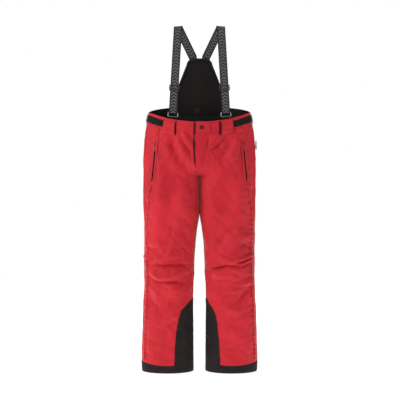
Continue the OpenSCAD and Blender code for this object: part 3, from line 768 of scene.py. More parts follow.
def slotted_shape(t0, t1, cols, bottom, top, d, side, fly=False):
    """Like half_shape, but one column of the grid follows the pocket's slot."""
    k = round(cols * (0.31 - t0) / (t1 - t0))
    lo, hi = k / cols, (k + 1) / cols

    def columns(share, z):
        p = seam_t(np.clip(z, -231, -87))
        first = t0 + (p - SLOT_HALF - t0) * share / lo
        slot = p + SLOT_HALF * (2 * (share - lo) / (hi - lo) - 1)
        last = p + SLOT_HALF + (t1 - p - SLOT_HALF) * (share - hi) / (1 - hi)
        return np.where(share < lo + 1e-6, first, np.where(share > hi - 1e-6, last, slot))

    def shape(u, v):
        share = u if side > 0 else 1 - u
        t = t0 + (t1 - t0) * share
        for _ in range(3):
            z = bottom(t) + (top(t) - bottom(t)) * v
            t = columns(share, z)
        place = garment(t, z, d, side)
        return open_fly(place) if fly else place

    def in_slot(u, v):
        share = u if side > 0 else 1 - u
        t = 0.31
        z = float(bottom(t) + (top(t) - bottom(t)) * v)
        return lo < share < hi and SLOT_END < z < SLOT_TOP
    return shape, in_slot


def slotted_grid(name, counts, shape, in_slot, size, thick):
    bm = new_grid(counts)
    middles = [(f, f.calc_center_median()) for f in bm.faces]
    gone = [f for f, c in middles if in_slot(c.x + 0.5, c.y + 0.5)]
    bmesh.ops.delete(bm, geom=gone, context="FACES")
    map_grid(bm, shape, size)
    bmesh.ops.solidify(bm, geom=bm.faces, thickness=thick * MM)
    return settle(bm, name)


def shell_panels():
    for side, s in SIDES:
        bottom = lambda t: hem_line(t) - 1
        shape, slot = slotted_shape(0.0002, 0.4992, 120, bottom, panel_top, 0.0, side, True)
        front = slotted_grid(f"front_{s}_shell", (120, 296), shape, slot, (0.29, 0.79), SHELL_T)
        shape = half_shape(0.5008, 0.9998, bottom, panel_top, 0.0, side)
        back = cloth_grid(f"back_{s}_shell", (84, 190), shape, (0.29, 0.79), SHELL_T)
        for part, mesh in (("front", front), ("back", back)):
            obj = new_object(f"{part}_{s}_shell", mesh, FINISH["red"],
                             replaces=[f"{part}_panel_{s}"])


def inner_layers():
    for side, s in SIDES:
        low = lambda t: HEM_Z + 92 + 0 * t
        shape, slot = slotted_shape(0.03, 0.9992, 110, low, lambda t: row_z(t, -42), 4.6, side)
        mesh = slotted_grid(f"wadding_{s}_layer", (110, 200), shape, slot, (0.56, 0.76), 2.2)
        obj = new_object(f"wadding_{s}_layer", mesh, FINISH["wadding"],
                         replaces=[f"wadding_{s}"])
        shape = half_shape(lambda v: np.interp(v, (0, 0.76, 0.86, 1), (0.0005, 0.0005, 0.02, 0.02)), 0.9999,
                           low, lambda t: row_z(t, -30), 9.7, side, 0.9)
        obj = cloth(f"lining_{s}_layer", (90, 140), shape, (0.56, 0.76), 0.7, "lining",
                    f"lining_{s}")


# ---------------------------------------------------------------- stitches

STITCH, STITCH_GAP = 2.5, 1.1
STITCH_SIZE = (STITCH / 2, 0.275, 0.2)     # half of its length, width and height


def stitches(name, runs, finish, body="root"):
    """Rows of short raised threads. Each run is a list of points with their outward normals, in mm."""
    bm = bmesh.new()
    for points, normals in runs:
        points, normals = np.array(points, float), np.array(normals, float)
        along = distance_along(points)
        for s in np.arange(STITCH / 2, along[-1] - STITCH / 2, STITCH + STITCH_GAP):
            middle = sample(s, along, points)
            n = Vector(sample(s, along, normals)).normalized()
            x = Vector(sample(s + 1.0, along, points) - middle).normalized()
            y = n.cross(x).normalized()
            n = x.cross(y)
            turn = Matrix([a * half for a, half in zip((x, y, n), STITCH_SIZE)]).transposed().to_4x4()
            place = Matrix.Translation(Vector(middle) + n * STITCH_SIZE[2] / 2) @ turn
            bmesh.ops.create_icosphere(bm, subdivisions=1, radius=1.0, matrix=Matrix.Scale(MM, 4) @ place)
    return new_object(name, settle(bm, name), FINISH[finish], body)


def cloth_run(t, z, d, side):
    """A stitch row on the garment: its points and their normals."""
    return garment(t, z, d, side), body_normal(t, z) * flip(side)


# ---------------------------------------------------------------- waistband

def band_shape(t0, t1, low, high, depth, side):
    """A strip that follows the waist: depth is a number or a function of the row and both shares."""
    def shape(u, v):
        share = u if side > 0 else 1 - u
        t = t0 + (t1 - t0) * share
        row = low + (high - low) * v
        d = depth(row, share, v) if callable(depth) else np.full(t.shape, float(depth))
        return garment(t, row_z(t, row), d, side)
    return shape


def band_puff(row, share, v):
    """The band swells between its stitched edges, with a slight ripple along it."""
    swell = 0.9 * (1 - np.abs(2 * v - 1) ** 3)
    ripple_ = 0.35 * np.sin(share * 46) * np.sin(np.pi * v) + 0.2 * np.sin(share * 93 + 2)
    return 0.4 - swell - ripple_ * 0.6


def left_band_puff(row, share, v):
    """The left band dips where the lap's edge lies on it."""
    return band_puff(row, share, v) + 2.6 * np.exp(-((share - 0.056) / 0.014) ** 2)


def waistband():
    for side, t0 in ((-1, 0.0005), (1, 0.046)):
        s = side_name(side)
        cloth(f"band_front_{s}", (90, 14),
              band_shape(t0, 0.4992, -39, 0, left_band_puff if side < 0 else band_puff, side),
              (0.25, 0.039), 2.0, "red", f"waistband_front_{s}")
    for side, s in SIDES:
        cloth(f"band_back_{s}", (90, 14), band_shape(0.5008, 1.0, -39, 0, band_puff, side),
                            (0.25, 0.039), 2.0, "red")
        cloth(f"facing_{s}", (110, 10), band_shape(0.0585, 1.0, -39, 0.9, 5.2, side),
                            (0.5, 0.038), 0.9, "bib")
    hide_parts("waistband_back")
    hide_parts("waistband_facing")
    runs = []
    for side, t0 in ((-1, 0.02), (1, 0.066)):
        for row in (-3.2, -36.0):
            for a, b in ((t0, 0.495), (0.505, 0.995)):
                t = np.linspace(a, b, 70)
                z = row_z(t, row)
                runs.append(cloth_run(t, z, -0.35, side))
        t = np.linspace(max(t0, 0.07), 0.49, 70)
        z = row_z(t, -42.5)
        runs.append(cloth_run(t, z, -0.1, side))
    stitches("band_stitches", runs, "thread")


# ---------------------------------------------------------------- fly: x across, d inwards, u up

FLY_O = np.array([0.0, -65.5, -37.0])
FLY_TILT = math.atan(6 / 138)
FLY_U = np.array([0.0, math.sin(FLY_TILT), math.cos(FLY_TILT)])
FLY_D = np.array([0.0, math.cos(FLY_TILT), -math.sin(FLY_TILT)])
FLY_X = np.array([1.0, 0.0, 0.0])
LAP_X = -11.0
J_EDGE = ((-153, -7.5), (-149, 0), (-142, 6.5), (-133, 10), (-119, 12.8), (-110, 14.6), (-102, 17),
          (-88, 19.8), (-75, 21), (-40, 22))


def fly_point(x, d, u):
    x, d, u = np.broadcast_arrays(x, d, u)
    return FLY_O + x[..., None] * FLY_X + d[..., None] * FLY_D + u[..., None] * FLY_U


def fly_pieces():
    us, xs = np.array(J_EDGE, float).T

    def flap(u, v):
        up = -153 + (153 - 39.6) * v
        right = np.interp(up, us, xs)
        x = LAP_X + (right - LAP_X) * u
        lift = -2.5 + 1.7 * smooth((u - 0.25) / 0.75) + 0.25 * np.sin(up / 9) * u
        roll = 0.5 * np.exp(-(x - LAP_X) / 1.2)
        return fly_point(x, lift + roll, up)
    piece = cloth("fly_flap_cloth", (18, 40), flap, (0.033, 0.096), 0.7, "red", "fly_flap",
                  body=None)
    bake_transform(piece)

    def lap(u, v):
        x = LAP_X + (34 - LAP_X) * u
        swell = 0.5 * (1 - np.abs(2 * v - 1) ** 3) + 0.25 * np.sin(x / 4.2) * np.sin(np.pi * v)
        roll = 0.7 * np.exp(-(x - LAP_X) / 1.0) + 1.5 * smooth((x - 16) / 17)
        return fly_point(x, -2.3 - swell + roll, -39 + 39 * v)
    piece = cloth("band_lap", (30, 14), lap, (0.045, 0.039), 0.8, "red", "waistband_overlap",
                  body=None)
    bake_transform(piece)

    def under(u, v):
        return fly_point(-9 + 33 * u, 2.5 + 0 * u, -39 + 39 * v)
    cloth("band_underlap", (12, 8), under, (0.033, 0.039), 1.4, "red", "waistband_underlap")

    def shield(u, v):
        up = -135 + 94 * v
        half = np.interp(up, (-135, -125, -110, -41), (6, 12, 15.5, 16.5))
        return fly_point((2 * u - 1) * half - 0.5, 5.5 + 0.3 * np.sin(up / 8), up)
    cloth("fly_shield_cloth", (12, 24), shield, (0.033, 0.094), 0.9, "lining", "fly_shield")

    # Painted shadow: a thin dark red strip on the left front beside the lap's left edge, standing in for the
    # shade the lap casts
    def edge_shade(u, v):
        z = -226 + 187 * v
        x = np.interp(z, (-226, -212, -190, -173, -140, -80, -39), (0.5, 2.6, 7.2, 11.6, 13.7, 13.9, 13.6))
        x = x + (1 - u) * np.interp(z, (-226, -200, -170), (0.8, 2.4, 5.2))
        t = np.arcsin(x / 184) / np.pi
        d = np.interp(z, (-180, -172, -80, -74), (-0.35, -0.6, -0.6, -1.1))
        return garment(t, z, d, -1)
    cloth("fly_edge_painted_shadow", (3, 60), edge_shade, (0.003, 0.19), 0.3, "painted_shade")

    outward = -FLY_D
    edge = [(LAP_X + 2.6, u) for u in np.linspace(-42, -132, 30)]
    inner_j = [(np.interp(u, us, xs) - 2.5, u) for u in np.linspace(-41, -126, 34)]
    inner_j += [(-3, -130.5), (-8, -132)]
    outer_j = [(np.interp(u, us, xs) - 5.3, u) for u in np.linspace(-41, -121, 30)]
    outer_j += [(-2, -126.5), (-8, -128)]
    band_box = [(LAP_X + 2.4, -3.0), (LAP_X + 2.4, -36.0), (26, -36.0)]
    band_top = [(LAP_X + 2.4, -3.0), (26, -3.0)]

    def fly_run(points, depth):
        p = fly_point(*[np.array(c, float) for c in zip(*[(x, depth(x), u) for x, u in points])])
        return p, np.tile(outward, (len(points), 1))
    lift_j = lambda x: -2.5 + 1.7 * smooth(((x - LAP_X) / 33 - 0.25) / 0.75) - 0.05
    piece = stitches("fly_stitches", [fly_run(edge, lambda x: -2.55), fly_run(inner_j, lift_j),
                                      fly_run(outer_j, lift_j), fly_run(band_box, lambda x: -2.75),
                                      fly_run(band_top, lambda x: -2.45)], "thread", None)
    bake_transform(piece)


# ---------------------------------------------------------------- zips

def tooth(bm, x, y, z, frame_, size):
    """One tooth of a coil at x across, y inwards and z up in a zip's own frame."""
    o, ax, inn, up = frame_
    place = (o + ax * x + inn * y + up * z) * MM
    turn = Matrix((Vector(ax) * size[0], Vector(inn) * size[1], Vector(up) * size[2])).transposed().to_4x4()
    move = Matrix.Translation(Vector(place)) @ turn
    bmesh.ops.create_icosphere(bm, subdivisions=1, radius=0.5 * MM, matrix=move)


def zip_piece(name, node, frame_, length, chain_at, tape_half):
    o, ax, inn, up = frame_
    bm = bmesh.new()
    count = int(length / 1.35)
    for k in range(count):
        z = -1.5 - k * 1.35
        for s in (-1, 1):
            tooth(bm, s * 0.75, chain_at + 0.65, z - 0.34 * s, frame_, (2.3, 1.2, 0.95))
    coil = new_object(name + "_coil", settle(bm, name + "_coil"), FINISH["zip"])
    for s in (-1, 1):
        def tape(u, v, s=s):
            x = 0.3 + (tape_half - 0.3) * (u if s > 0 else 1 - u)
            at = o + (s * x)[..., None] * ax + (-length * (1 - v))[..., None] * up
            return at + (chain_at + 1.3) * inn
        cloth(f"{name}_tape_{side_name(s)}", (4, 40), tape, (tape_half * MM, length * MM), 0.6, "zip")
    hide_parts(node)


POCKET_O = np.array([141.1, -43.0, -101.0])
POCKET_UP = np.array([-0.0935, 0.0449, 0.9946])
POCKET_IN = np.array([-0.474, 0.8765, -0.0841])
POCKET_AX = np.array([0.8756, 0.4792, 0.0607])
POCKET_LEN = 127.7


def pocket_frame(side):
    turn = flip(side)
    return (POCKET_O + POCKET_IN * 0.6) * turn, POCKET_AX * turn * side, POCKET_IN * turn, POCKET_UP * turn


def pockets():
    for side, s in SIDES:
        frame_ = pocket_frame(side)
        o, ax, inn, up = frame_
        zip_piece(f"pocket_zip_{s}_part", f"pocket_zip_{s}", frame_, POCKET_LEN, 0.4, 4.0)
        bm = bmesh.new()
        bm.loops.layers.uv.new("cloth")
        for lip in (-1, 1):
            def welt(u, v, lip=lip):
                a = 2 * np.pi * u
                swell = 1 + 0.08 * np.sin(v * 40 + lip)
                x = lip * (5.7 + 2.9 * np.cos(a))
                y = -2.0 + 0.62 * np.sin(a) * swell * (1 + 0.5 * np.cos(a))
                z = -POCKET_LEN - 3 + (POCKET_LEN + 6) * v
                return o + x[..., None] * ax + y[..., None] * inn + z[..., None] * up
            take_in(bm, tube((12, 50), welt, (0.018, 0.13), 1e-6))
        new_object(f"welt_{s}", settle(bm, f"welt_{s}"), FINISH["red"],
                   replaces=[f"pocket_welt_{s}"])

        def bag(u, v):
            share = u if side > 0 else 1 - u
            z = -262 + (262 - 92) * v
            t = seam_t(np.clip(z, -231, -87)) - 0.09 + 0.19 * share
            return garment(t, z, np.full(t.shape, 7.4), side)
        cloth(f"pocket_bag_{s}_cloth", (16, 30), bag, (0.1, 0.17), 0.8, "lining",
              f"pocket_bag_{s}")
        tacks = []
        for z in (1.2, 2.2, -POCKET_LEN - 1.2, -POCKET_LEN - 2.2):
            row = [o + x * ax - 3.2 * inn + z * up for x in (-4.5, 0.0, 4.5)]
            tacks.append((row, [-inn] * 3))
        stitches(f"pocket_tacks_{s}", tacks, "thread")


# ---------------------------------------------------------------- loops, tabs, keepers

def strip_profile(row, top, bottom, out, low_out=0.9):
    return -np.interp(row, (bottom, bottom + 4, bottom + 9, (top + bottom) / 2, top - 9, top - 4, top),
                      (low_out, low_out, out, out + 0.6, out, 0.9, 0.9))


def belt_loop(name, node, t0, t1, top, bottom, side, out=3.6):
    def depth(row, share, v):
        edge = 0.4 * np.abs(2 * share - 1) ** 6
        lift = 1.6 * (1 - share) ** 3 * np.sin(np.pi * v)
        return strip_profile(row, top, bottom, out) + edge - lift - 0.5
    obj = cloth(name, (14, 40), band_shape(t0, t1, bottom, top, depth, side),
                (0.45 * (t1 - t0), (top - bottom) * MM), 1.3, "red")
    runs = []
    for share in (0.07, 0.93):
        rows = np.linspace(top - 1, bottom + 1, 30)
        t = np.full(rows.shape, t0 + (t1 - t0) * share)
        z = row_z(t, rows)
        runs.append(cloth_run(t, z, strip_profile(rows, top, bottom, out) - 0.55, side))
    stitches(name + "_stitches", runs, "thread")
    if node:
        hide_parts(node)


def waist_trims():
    belt_loop("loop_front_left", "belt_loop_left", 0.148, 0.229, -2, -52, -1, 4.2)
    belt_loop("loop_front_right", "belt_loop_right", 0.132, 0.209, -2, -48, 1, 4.2)
    # Painted shadow: dark red strips beside each front belt loop's inner edge, standing in for the shade
    # under the loop
    for side, t0, t1, low in ((-1, 0.139, 0.152, -50), (1, 0.116, 0.136, -46)):
        cloth(f"loop_under_{side_name(side)}", (6, 30), band_shape(t0, t1, low, -4, -1.0, side),
              (0.008, 0.045), 0.6, "painted_shade")
    belt_loop("loop_back_left", "belt_loops_back", 0.86, 0.9, -2, -46, -1, 3.2)
    belt_loop("loop_back_right", None, 0.86, 0.9, -2, -46, 1, 3.2)
    for side, s in SIDES:
        def tab_depth(row, share, v):
            return -2.3 - 0.15 * np.sin(share * 9) + 0.25 * (np.abs(2 * v - 1) ** 6)
        obj = cloth(f"tab_{s}_tape", (40, 8),
                    band_shape(0.237 if side < 0 else 0.217, 0.46, -30, -10, tab_depth, side), (0.09, 0.02),
                    0.9, "hook", f"waist_tab_{s}", body=None)
        root_at = garment(0.458, -20.0, -2, side) * MM
        tab_at = garment(0.425, -20.0, -2, side) * MM
        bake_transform(obj)
        cloth(f"tab_base_{s}_tape", (34, 8), band_shape(0.477, 0.64, -30, -10, -2.3, side), (0.08, 0.02),
              0.9, "hook", f"tab_base_{s}")
        cloth(f"loop_patch_{s}_tape", (34, 8), band_shape(0.268, 0.43, -31, -9, -1.05, side), (0.07, 0.022),
              0.35, "hook", f"loop_patch_{s}")

        def keeper_depth(row, share, v):
            return strip_profile(row, -1, -38.6, 3.4, 1.4) - 0.5
        cloth(f"keeper_{s}_strip", (8, 34), band_shape(0.49, 0.525, -38.6, -1, keeper_depth, side),
              (0.012, 0.037), 1.0, "dark_red", f"tab_keeper_{s}")


# ---------------------------------------------------------------- back bib

BIB_W = ((-4, 97), (20, 95), (95, 67), (176, 35))
BIB_TOP = 176.0
BIB_ARCH = 8.0


def bib_point(x_share, row, d, grow=0.0):
    rows, widths = np.array(BIB_W, float).T
    wide = sum(np.interp(row + s, rows, widths) for s in (-12, 0, 12)) / 3
    x = x_share * (wide + grow)
    z = row + (1 - x_share ** 2) * BIB_ARCH * np.clip((row - 95) / (BIB_TOP - 95), 0, 1)
    lean = 0.022 * np.maximum(0, row - 20)
    y = (WAIST_D - d - lean) * np.sqrt(1 - (x / (WAIST_W - d)) ** 2)
    return np.stack(np.broadcast_arrays(x, y, z), -1)


def bib():
    """Seen from outside, behind the wearer, so that u runs towards -X."""
    def shape(u, v):
        row = -4 + (BIB_TOP + 4) * v
        share = 1 - 2 * u
        give = 0.5 * np.sin(row / 16 + 3 * share) * (1 - share ** 2) * smooth(v * 3)
        seam = 0.8 * np.exp(-((row - 16) / 2.0) ** 2)
        return bib_point(share, row, 2.6 + give * 0.5 + seam)
    obj = cloth("bib_cloth_panel", (60, 80), shape, (0.16, 0.18), 1.4, "bib", "back_bib")
    rows = np.linspace(20, 170, 40)
    corner = np.linspace(0, 1, 9)[1:-1]
    top_x = np.linspace(-0.86, 0.86, 25)
    edge = [(-1.0, r) for r in rows] + [(-1 + 0.14 * c ** 2, 170 + 6 * (1 - (1 - c) ** 2)) for c in corner]
    edge += [(x, BIB_TOP) for x in top_x]
    edge += [(1 - 0.14 * (1 - c) ** 2, 170 + 6 * (1 - c ** 2)) for c in corner]
    edge += [(1.0, r) for r in rows[::-1]]
    middle = np.array([bib_point(np.array(a), np.array(b), 3.6) for a, b in edge])
    out = np.gradient(middle, axis=0)
    out = unit(np.stack([-out[:, 2], 0 * out[:, 0], out[:, 0]], -1))
    middle = middle + out * 1.6
    tube_strip("bib_edge", middle, out, 2.9, 2.0, "trim", "bib_binding")
    runs = []
    inset = middle - out * 3.6
    runs.append((inset - np.array([0, 1.75, 0]), np.tile([0, -1.0, 0], (len(inset), 1))))
    for row in (13.0, 19.5):
        x = np.linspace(-0.95, 0.95, 50)
        runs.append((bib_point(x, np.full(50, row), 4.15), np.tile([0, -1.0, 0], (50, 1))))
    stitches("bib_stitches", runs, "black_thread")


def tube_strip(name, middle, wide_dir, half_wide, half_thick, finish, node):
    """A rounded flat tube along a path: wide_dir is the direction of its width at each point."""
    count = len(middle)
    thick_dir = unit(np.cross(unit(np.gradient(middle, axis=0)), wide_dir))
    length = distance_along(middle)[-1]

    def shape(u, v):
        k = np.clip(v * (count - 1), 0, count - 1)
        at, out, over = (sample(k, np.arange(count), table) for table in (middle, wide_dir, thick_dir))
        wide, thick = (np.sign(c) * np.abs(c) ** 0.7 for c in (np.cos(2 * np.pi * u), np.sin(2 * np.pi * u)))
        return at + out * (half_wide * wide)[..., None] + over * (half_thick * thick)[..., None]
    bm = tube((12, count * 2), shape, (4 * half_wide * MM, length * MM), 1e-7)
    return new_object(name, settle(bm, name), FINISH[finish], "root", [node])


# ---------------------------------------------------------------- shoulder straps

STRAP_TOP = 284.0
FOLD_R = 9.0
FOLD_Y, FOLD_Z = 2.3, STRAP_TOP - FOLD_R
BACK_END = np.array([19.0, 59.2, 158.0])
BACK_CLEAR = np.array([22.0, 58.2, 192.0])
RING_AT = np.array([86.0, -38.0, -4.0])
BACK_A, FRONT_A = 24.9, 173.6
LAYER_GAP = 2.15
STRAP_HALF = 13.5


def fold_point(angle):
    r = math.radians(angle)
    share = (angle - BACK_A) / (FRONT_A - BACK_A)
    return np.array([68 + 3 * share, FOLD_Y + FOLD_R * math.cos(r), FOLD_Z + FOLD_R * math.sin(r)])


FRONT_TOP = fold_point(FRONT_A)
FRONT_T = unit(RING_AT - FRONT_TOP)
FRONT_W = unit(np.array([1, 0, 0]) - FRONT_T[0] * FRONT_T)
FRONT_IN = -np.cross(FRONT_T, FRONT_W)


def slide_at(z):
    return FRONT_TOP + FRONT_T * (z - FRONT_TOP[2]) / FRONT_T[2]


def flat_strip(name, points, widths, half, thick, finish, side, body="root", replaces=(), wave=0.0):
    """Webbing along a path in millimetres, with its width direction at each point."""
    points, widths = np.array(points), np.array(widths)
    along = distance_along(points)
    outs = unit(np.cross(unit(np.gradient(points, axis=0)), widths))

    def shape(u, v):
        s = v * along[-1]
        at, wide, out = (sample(s, along, table) for table in (points, widths, outs))
        x = (2 * u - 1) * side * half
        lift = thick / 2 - wave * np.sin(s / 21) * np.sin(np.pi * v)
        return (at + wide * x[..., None] + out * lift[..., None]) * flip(side)
    counts = (10, max(20, int(along[-1] / 4)))
    mesh = cloth_grid(name, counts, shape, (2 * half * MM, along[-1] * MM), thick)
    return new_object(name, mesh, FINISH[finish], body, replaces)


def main_strap_path():
    """From the back of the bib over the shoulder and down to the ring's upper bar."""
    fold_axis = np.array([math.cos(math.radians(12)), 0, -math.sin(math.radians(12))])
    start = fold_point(BACK_A)
    rise_ = [BACK_END + (BACK_CLEAR - BACK_END) * s for s in np.linspace(0, 1, 8)[:-1]]
    rise_ += [BACK_CLEAR + (start - BACK_CLEAR) * s for s in np.linspace(0, 1, 20)[:-1]]
    fold = [fold_point(a) for a in np.linspace(BACK_A, FRONT_A, 16)]
    down = [FRONT_TOP + (RING_AT - FRONT_TOP) * s for s in np.linspace(0, 1, 60)[1:]]
    points = np.array(rise_ + fold + down)
    turn = np.concatenate([np.zeros(len(rise_)), np.linspace(0, 1, 16), np.ones(len(down))])
    dirs = unit(np.gradient(points, axis=0))
    axis = fold_axis + (np.array([1, 0, 0]) - fold_axis) * turn[:, None]
    widths = axis - (axis * dirs).sum(1, keepdims=True) * dirs
    return points, unit(widths)


def straps():
    for side, s in SIDES:
        points, widths = main_strap_path()
        flat_strip(f"webbing_{s}", points, widths, STRAP_HALF, 1.4, "webbing", side,
                   replaces=[f"strap_{s}"], wave=0.12)
        turn = [RING_AT + FRONT_IN * LAYER_GAP * (1 - math.cos(a)) + FRONT_T * LAYER_GAP * math.sin(a)
                for a in np.linspace(0.05, math.pi, 12)]
        end = slide_at(72.0)
        back = [RING_AT + (end - RING_AT) * k + FRONT_IN * 2 * LAYER_GAP for k in np.linspace(0, 1, 16)[1:]]
        tail = np.array(turn + back)
        obj = flat_strip(f"webbing_tail_{s}", tail, np.tile(FRONT_W, (len(tail), 1)), STRAP_HALF, 1.3,
                         "webbing", side, body=None)
        tuple((RING_AT - FRONT_T * 6) * flip(side) * MM)
        tuple((end + FRONT_T * 8) * flip(side) * MM)
        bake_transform(obj)
        bottom = RING_AT + FRONT_IN * LAYER_GAP + FRONT_T * 14
        inward = unit(np.array([0, 1, 0]) - FRONT_W[1] * FRONT_W)
        loop = [bottom - inward * 2.1 + np.array([0, 0, z]) for z in (-36, -30, -20, -10)]
        loop += [bottom - inward * 2.1 * math.cos(a) + np.array([0, 0, 2.1 * math.sin(a)])
                 for a in np.linspace(0, math.pi, 10)]
        loop += [bottom + inward * 2.1 + np.array([0, 0, z]) for z in (-10, -20, -30, -36)]
        flat_strip(f"ring_loop_{s}", loop, np.tile(FRONT_W, (len(loop), 1)), 11.0, 1.1, "trim",
                   side, replaces=[f"ring_anchor_{s}"])
        adjuster(side)


def rounded_bar(bm, centre, axes, size, edge):
    """A box with rounded edges in the frame of three axes, added to bm; sizes in millimetres."""
    part = bmesh.new()
    bmesh.ops.create_cube(part, size=1.0)
    bmesh.ops.scale(part, vec=Vector(size), verts=part.verts)
    bmesh.ops.bevel(part, geom=part.edges[:], offset=edge, offset_type="OFFSET", segments=4, profile=0.5,
                    affect="EDGES", material=-1)
    turn = Matrix([list(a) for a in axes]).transposed().to_4x4()
    move = Matrix.Scale(MM, 4) @ Matrix.Translation(Vector(centre)) @ turn
    bmesh.ops.transform(part, matrix=move, verts=part.verts)
    take_in(bm, part)


def adjuster(side):
    """The strap's three-bar slide, with rounded ends."""
    s = side_name(side)
    bm = bmesh.new()
    o = slide_at(76.0)
    turn = flip(side)
    axes = [FRONT_W * turn * side, FRONT_IN * turn, -FRONT_T * turn]
    face = -0.7 - 0.4

    def bar(x, y, z, size, edge):
        rounded_bar(bm, (o + FRONT_W * x + FRONT_IN * y - FRONT_T * z) * turn, axes, size, edge)
    for x in (-1, 1):
        bar(x * 15.6, 0.2, 0, (2.8, 5.6, 16.5), 1.3)
    for z in (-7.75, 7.75):
        bar(0, face - 1.0, z, (33.0, 2.0, 4.0), 0.9)
    bar(0, 1.95, 0, (32.0, 1.7, 4.0), 0.8)
    new_object(f"adjuster_{s}", settle(bm, f"adjuster_{s}"), FINISH["buckle"], f"{s}_strap_slide",
               [f"strap_slide_{s}"])


# ---------------------------------------------------------------- lower legs

GUARD_BACK = ((HEM_Z + 20, 0.19), (-715, 0.169), (-652, 0.148), (-614, 0.03))
GUARD_FRONT = {-1: ((-850, 83), (-780, 80), (-737, 77), (-700, 72.5), (-676, 67.5), (-658, 63), (-645, 57),
                    (-634, 46), (-622, 34), (-610, 22)),
               1: ((-850, 69), (-780, 66), (-737, 63), (-700, 58.5), (-676, 55), (-660, 51), (-645, 44),
                   (-632, 36), (-620, 29), (-610, 23))}
GUARD_TOP = -611.0


def guard_edge(z, side):
    """The guard's front edge as a share of the way round, from its distance across."""
    zs, xs = np.array(GUARD_FRONT[side], float).T
    x = np.interp(z, zs, xs)
    xo, xi = outline(z, OUTER), outline(z, INNER, False)
    return 0.5 - np.arccos(np.clip((x - (xo + xi) / 2) / ((xo - xi) / 2), -1, 1)) / (2 * np.pi)


def guard_back_edge(z):
    zs, ts = np.array(GUARD_BACK, float).T
    return np.interp(z, zs, ts)


def guards():
    for side, s in SIDES:
        def shape(u, v):
            share = u if side > 0 else 1 - u
            z0 = HEM_Z + 30
            z = z0 + (GUARD_TOP - z0) * v
            front, back = guard_edge(z, side), guard_back_edge(z)
            t = -back + (front + back) * share
            z = z + (hem_line(t) - 1.5 - z0) * np.clip(1 - v / 0.25, 0, 1)
            d = -0.9 - 0.35 * (1 - np.abs(2 * share - 1) ** 8)
            return garment(t % 1.0, z, d, side)
        cloth(f"guard_{s}", (40, 70), shape, (0.2, 0.2), 0.9, "trim", f"scuff_guard_{s}")
        runs = []
        for inset in (0.006, 0.012):
            z = np.linspace(HEM_Z + 34, GUARD_TOP - 2 - inset * 300, 60)
            t = guard_edge(z, side) - inset
            runs.append(cloth_run(t, z, -1.25, side))
            t = 1 - guard_back_edge(z) + inset
            runs.append(cloth_run(t, z, -1.25, side))
        stitches(f"guard_stitches_{s}", runs, "black_thread")


def hems():
    for side, s in SIDES:
        def shape(u, v):
            share = (u if side > 0 else 1 - u) % 1.0
            z = HEM_Z + (hem_line(share) - HEM_Z) * v
            d = -0.5 - 0.5 * (1 - np.abs(2 * v - 1) ** 4) + 0.15 * np.sin(share * 150) * (1 - v)
            return garment(share, z, d, side)
        cloth(f"hem_{s}", (120, 12), shape, (0.44, 0.032), 1.8, "trim", f"hem_band_{s}",
              close=True)

        def gaiter(u, v):
            share = (u if side > 0 else 1 - u) % 1.0
            low, high = HEM_Z + 7, HEM_Z + 140
            z = low + (high - low) * v
            gather = smooth((0.16 - v) / 0.1)
            d = 14.3 + 6.4 * smooth((0.5 - v) / 0.5) + gather * 1.1 * np.sin(share * 2 * np.pi * 46)
            d = d + 0.5 * np.sin(share * 2 * np.pi * 9 + v * 7) * smooth(v * 4) * smooth((1 - v) * 6)
            return garment(share, z, d, side, 0.0)
        obj = cloth(f"gaiter_{s}_cloth", (184, 40), gaiter, (0.36, 0.133), 0.7, "gaiter",
                    f"gaiter_{s}", close=True)
        runs = []
        for up in (4.0, 10.5):
            for start, end in ((0.004, 0.498), (0.502, 0.996)):
                t = np.linspace(start, end, 60)
                runs.append(cloth_run(t, hem_line(t) + up, -0.1, side))
        stitches(f"hem_stitches_{s}", runs, "thread")


# ---------------------------------------------------------------- labels

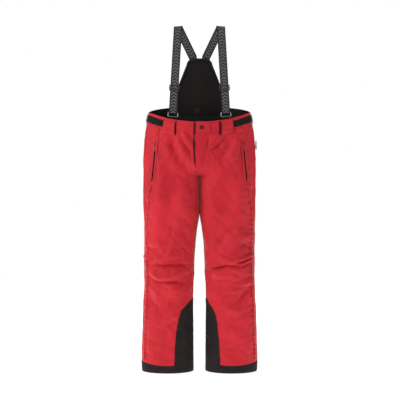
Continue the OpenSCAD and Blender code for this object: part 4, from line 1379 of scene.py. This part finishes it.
def labels():
    low, high = mm_box("side_label")

    def tag(u, v):
        a = np.interp(u, (0, 0.44, 0.56, 1), (0, 1, 1, 0))
        out = np.interp(u, (0, 0.44, 0.5, 0.56, 1), (0, 6.3, 6.9, 6.3, 0))
        y = np.interp(u, (0, 0.44, 0.5, 0.56, 1), (-0.55, -0.5, 0, 0.5, 0.55))
        z = low[2] + (high[2] - low[2]) * v
        bend = 0.5 * np.sin((z - low[2]) / 9) * a
        return np.stack([low[0] + out, y * 1.0 + bend * 0.3 + (low[1] + high[1]) / 2, z], -1)
    cloth("side_tag", (22, 20), tag, (0.014, 0.03), 0.25, "label", "side_label")

    def mark(u, v):
        z = low[2] + 5 + 9 * v
        out_ = low[0] + 1.4 + 4.2 * u
        bend = 0.15 * np.sin((z - low[2]) / 9) * (out_ - low[0]) / 6.3
        return np.stack([out_, bend - 0.78 + (low[1] + high[1]) / 2 + 0 * u, z], -1)
    cloth("side_tag_mark", (6, 8), mark, (0.004, 0.009), 0.1, "label_mark")

    def care(u, v):
        x = 6 - 20 * u
        z = 24 - 26 + 17 * v
        y = (WAIST_D - 6.9) * np.sqrt(1 - (x / 158) ** 2)
        return np.stack([x - 5, y, z + 4], -1)
    cloth("care_label", (10, 8), care, (0.02, 0.017), 0.35, "care")


# ---------------------------------------------------------------- carried-over metal and floor

def dress_cad():
    def paint(node, key):
        obj = bpy.data.objects[node]
        obj.data.materials.clear()
        obj.data.materials.append(FINISH[key])
    paint("snap_cap", "gunmetal")
    for node in ("snap_socket", "snap_stud", "fly_zip_slider", "fly_zip_pull"):
        paint(node, "steel")
    for s in ("left", "right"):
        paint(f"strap_ring_{s}", "steel")
        paint(f"pocket_slider_{s}", "pull")
        paint(f"pocket_pull_{s}", "pull")


def studio_floor():
    """A pale round floor just under the hems."""
    bm = bmesh.new()
    bmesh.ops.create_circle(bm, cap_ends=True, segments=96, radius=3.2)
    bmesh.ops.translate(bm, vec=(0, 0, (HEM_Z - 3) * MM), verts=bm.verts)
    mesh = bpy.data.meshes.new("studio_floor")
    bm.to_mesh(mesh)
    bm.free()
    f = Finish("floor_white", (0.93, 0.93, 0.93), 0.9, **{"Emission Color": WHITE,
                                                          "Emission Strength": 0.8})
    mesh.materials.append(f.finish(f.blend(f.noise(2.0), (0.92, 0.92, 0.92), (0.94, 0.94, 0.94))))
    obj = bpy.data.objects.new("studio_floor", mesh)
    bpy.context.collection.objects.link(obj)


# ---------------------------------------------------------------- build

add_camera()
add_lights()
FINISH = make_finishes()
studio_floor()
shell_panels()
inner_layers()
waistband()
fly_pieces()
zip_piece("fly_zip_part", "fly_zip_tape", (fly_point(0.0, 0.0, -42.0), FLY_X, FLY_D, FLY_U), 94.0, 2.2, 12.0)
pockets()
waist_trims()
bib()
straps()
guards()
hems()
labels()
dress_cad()
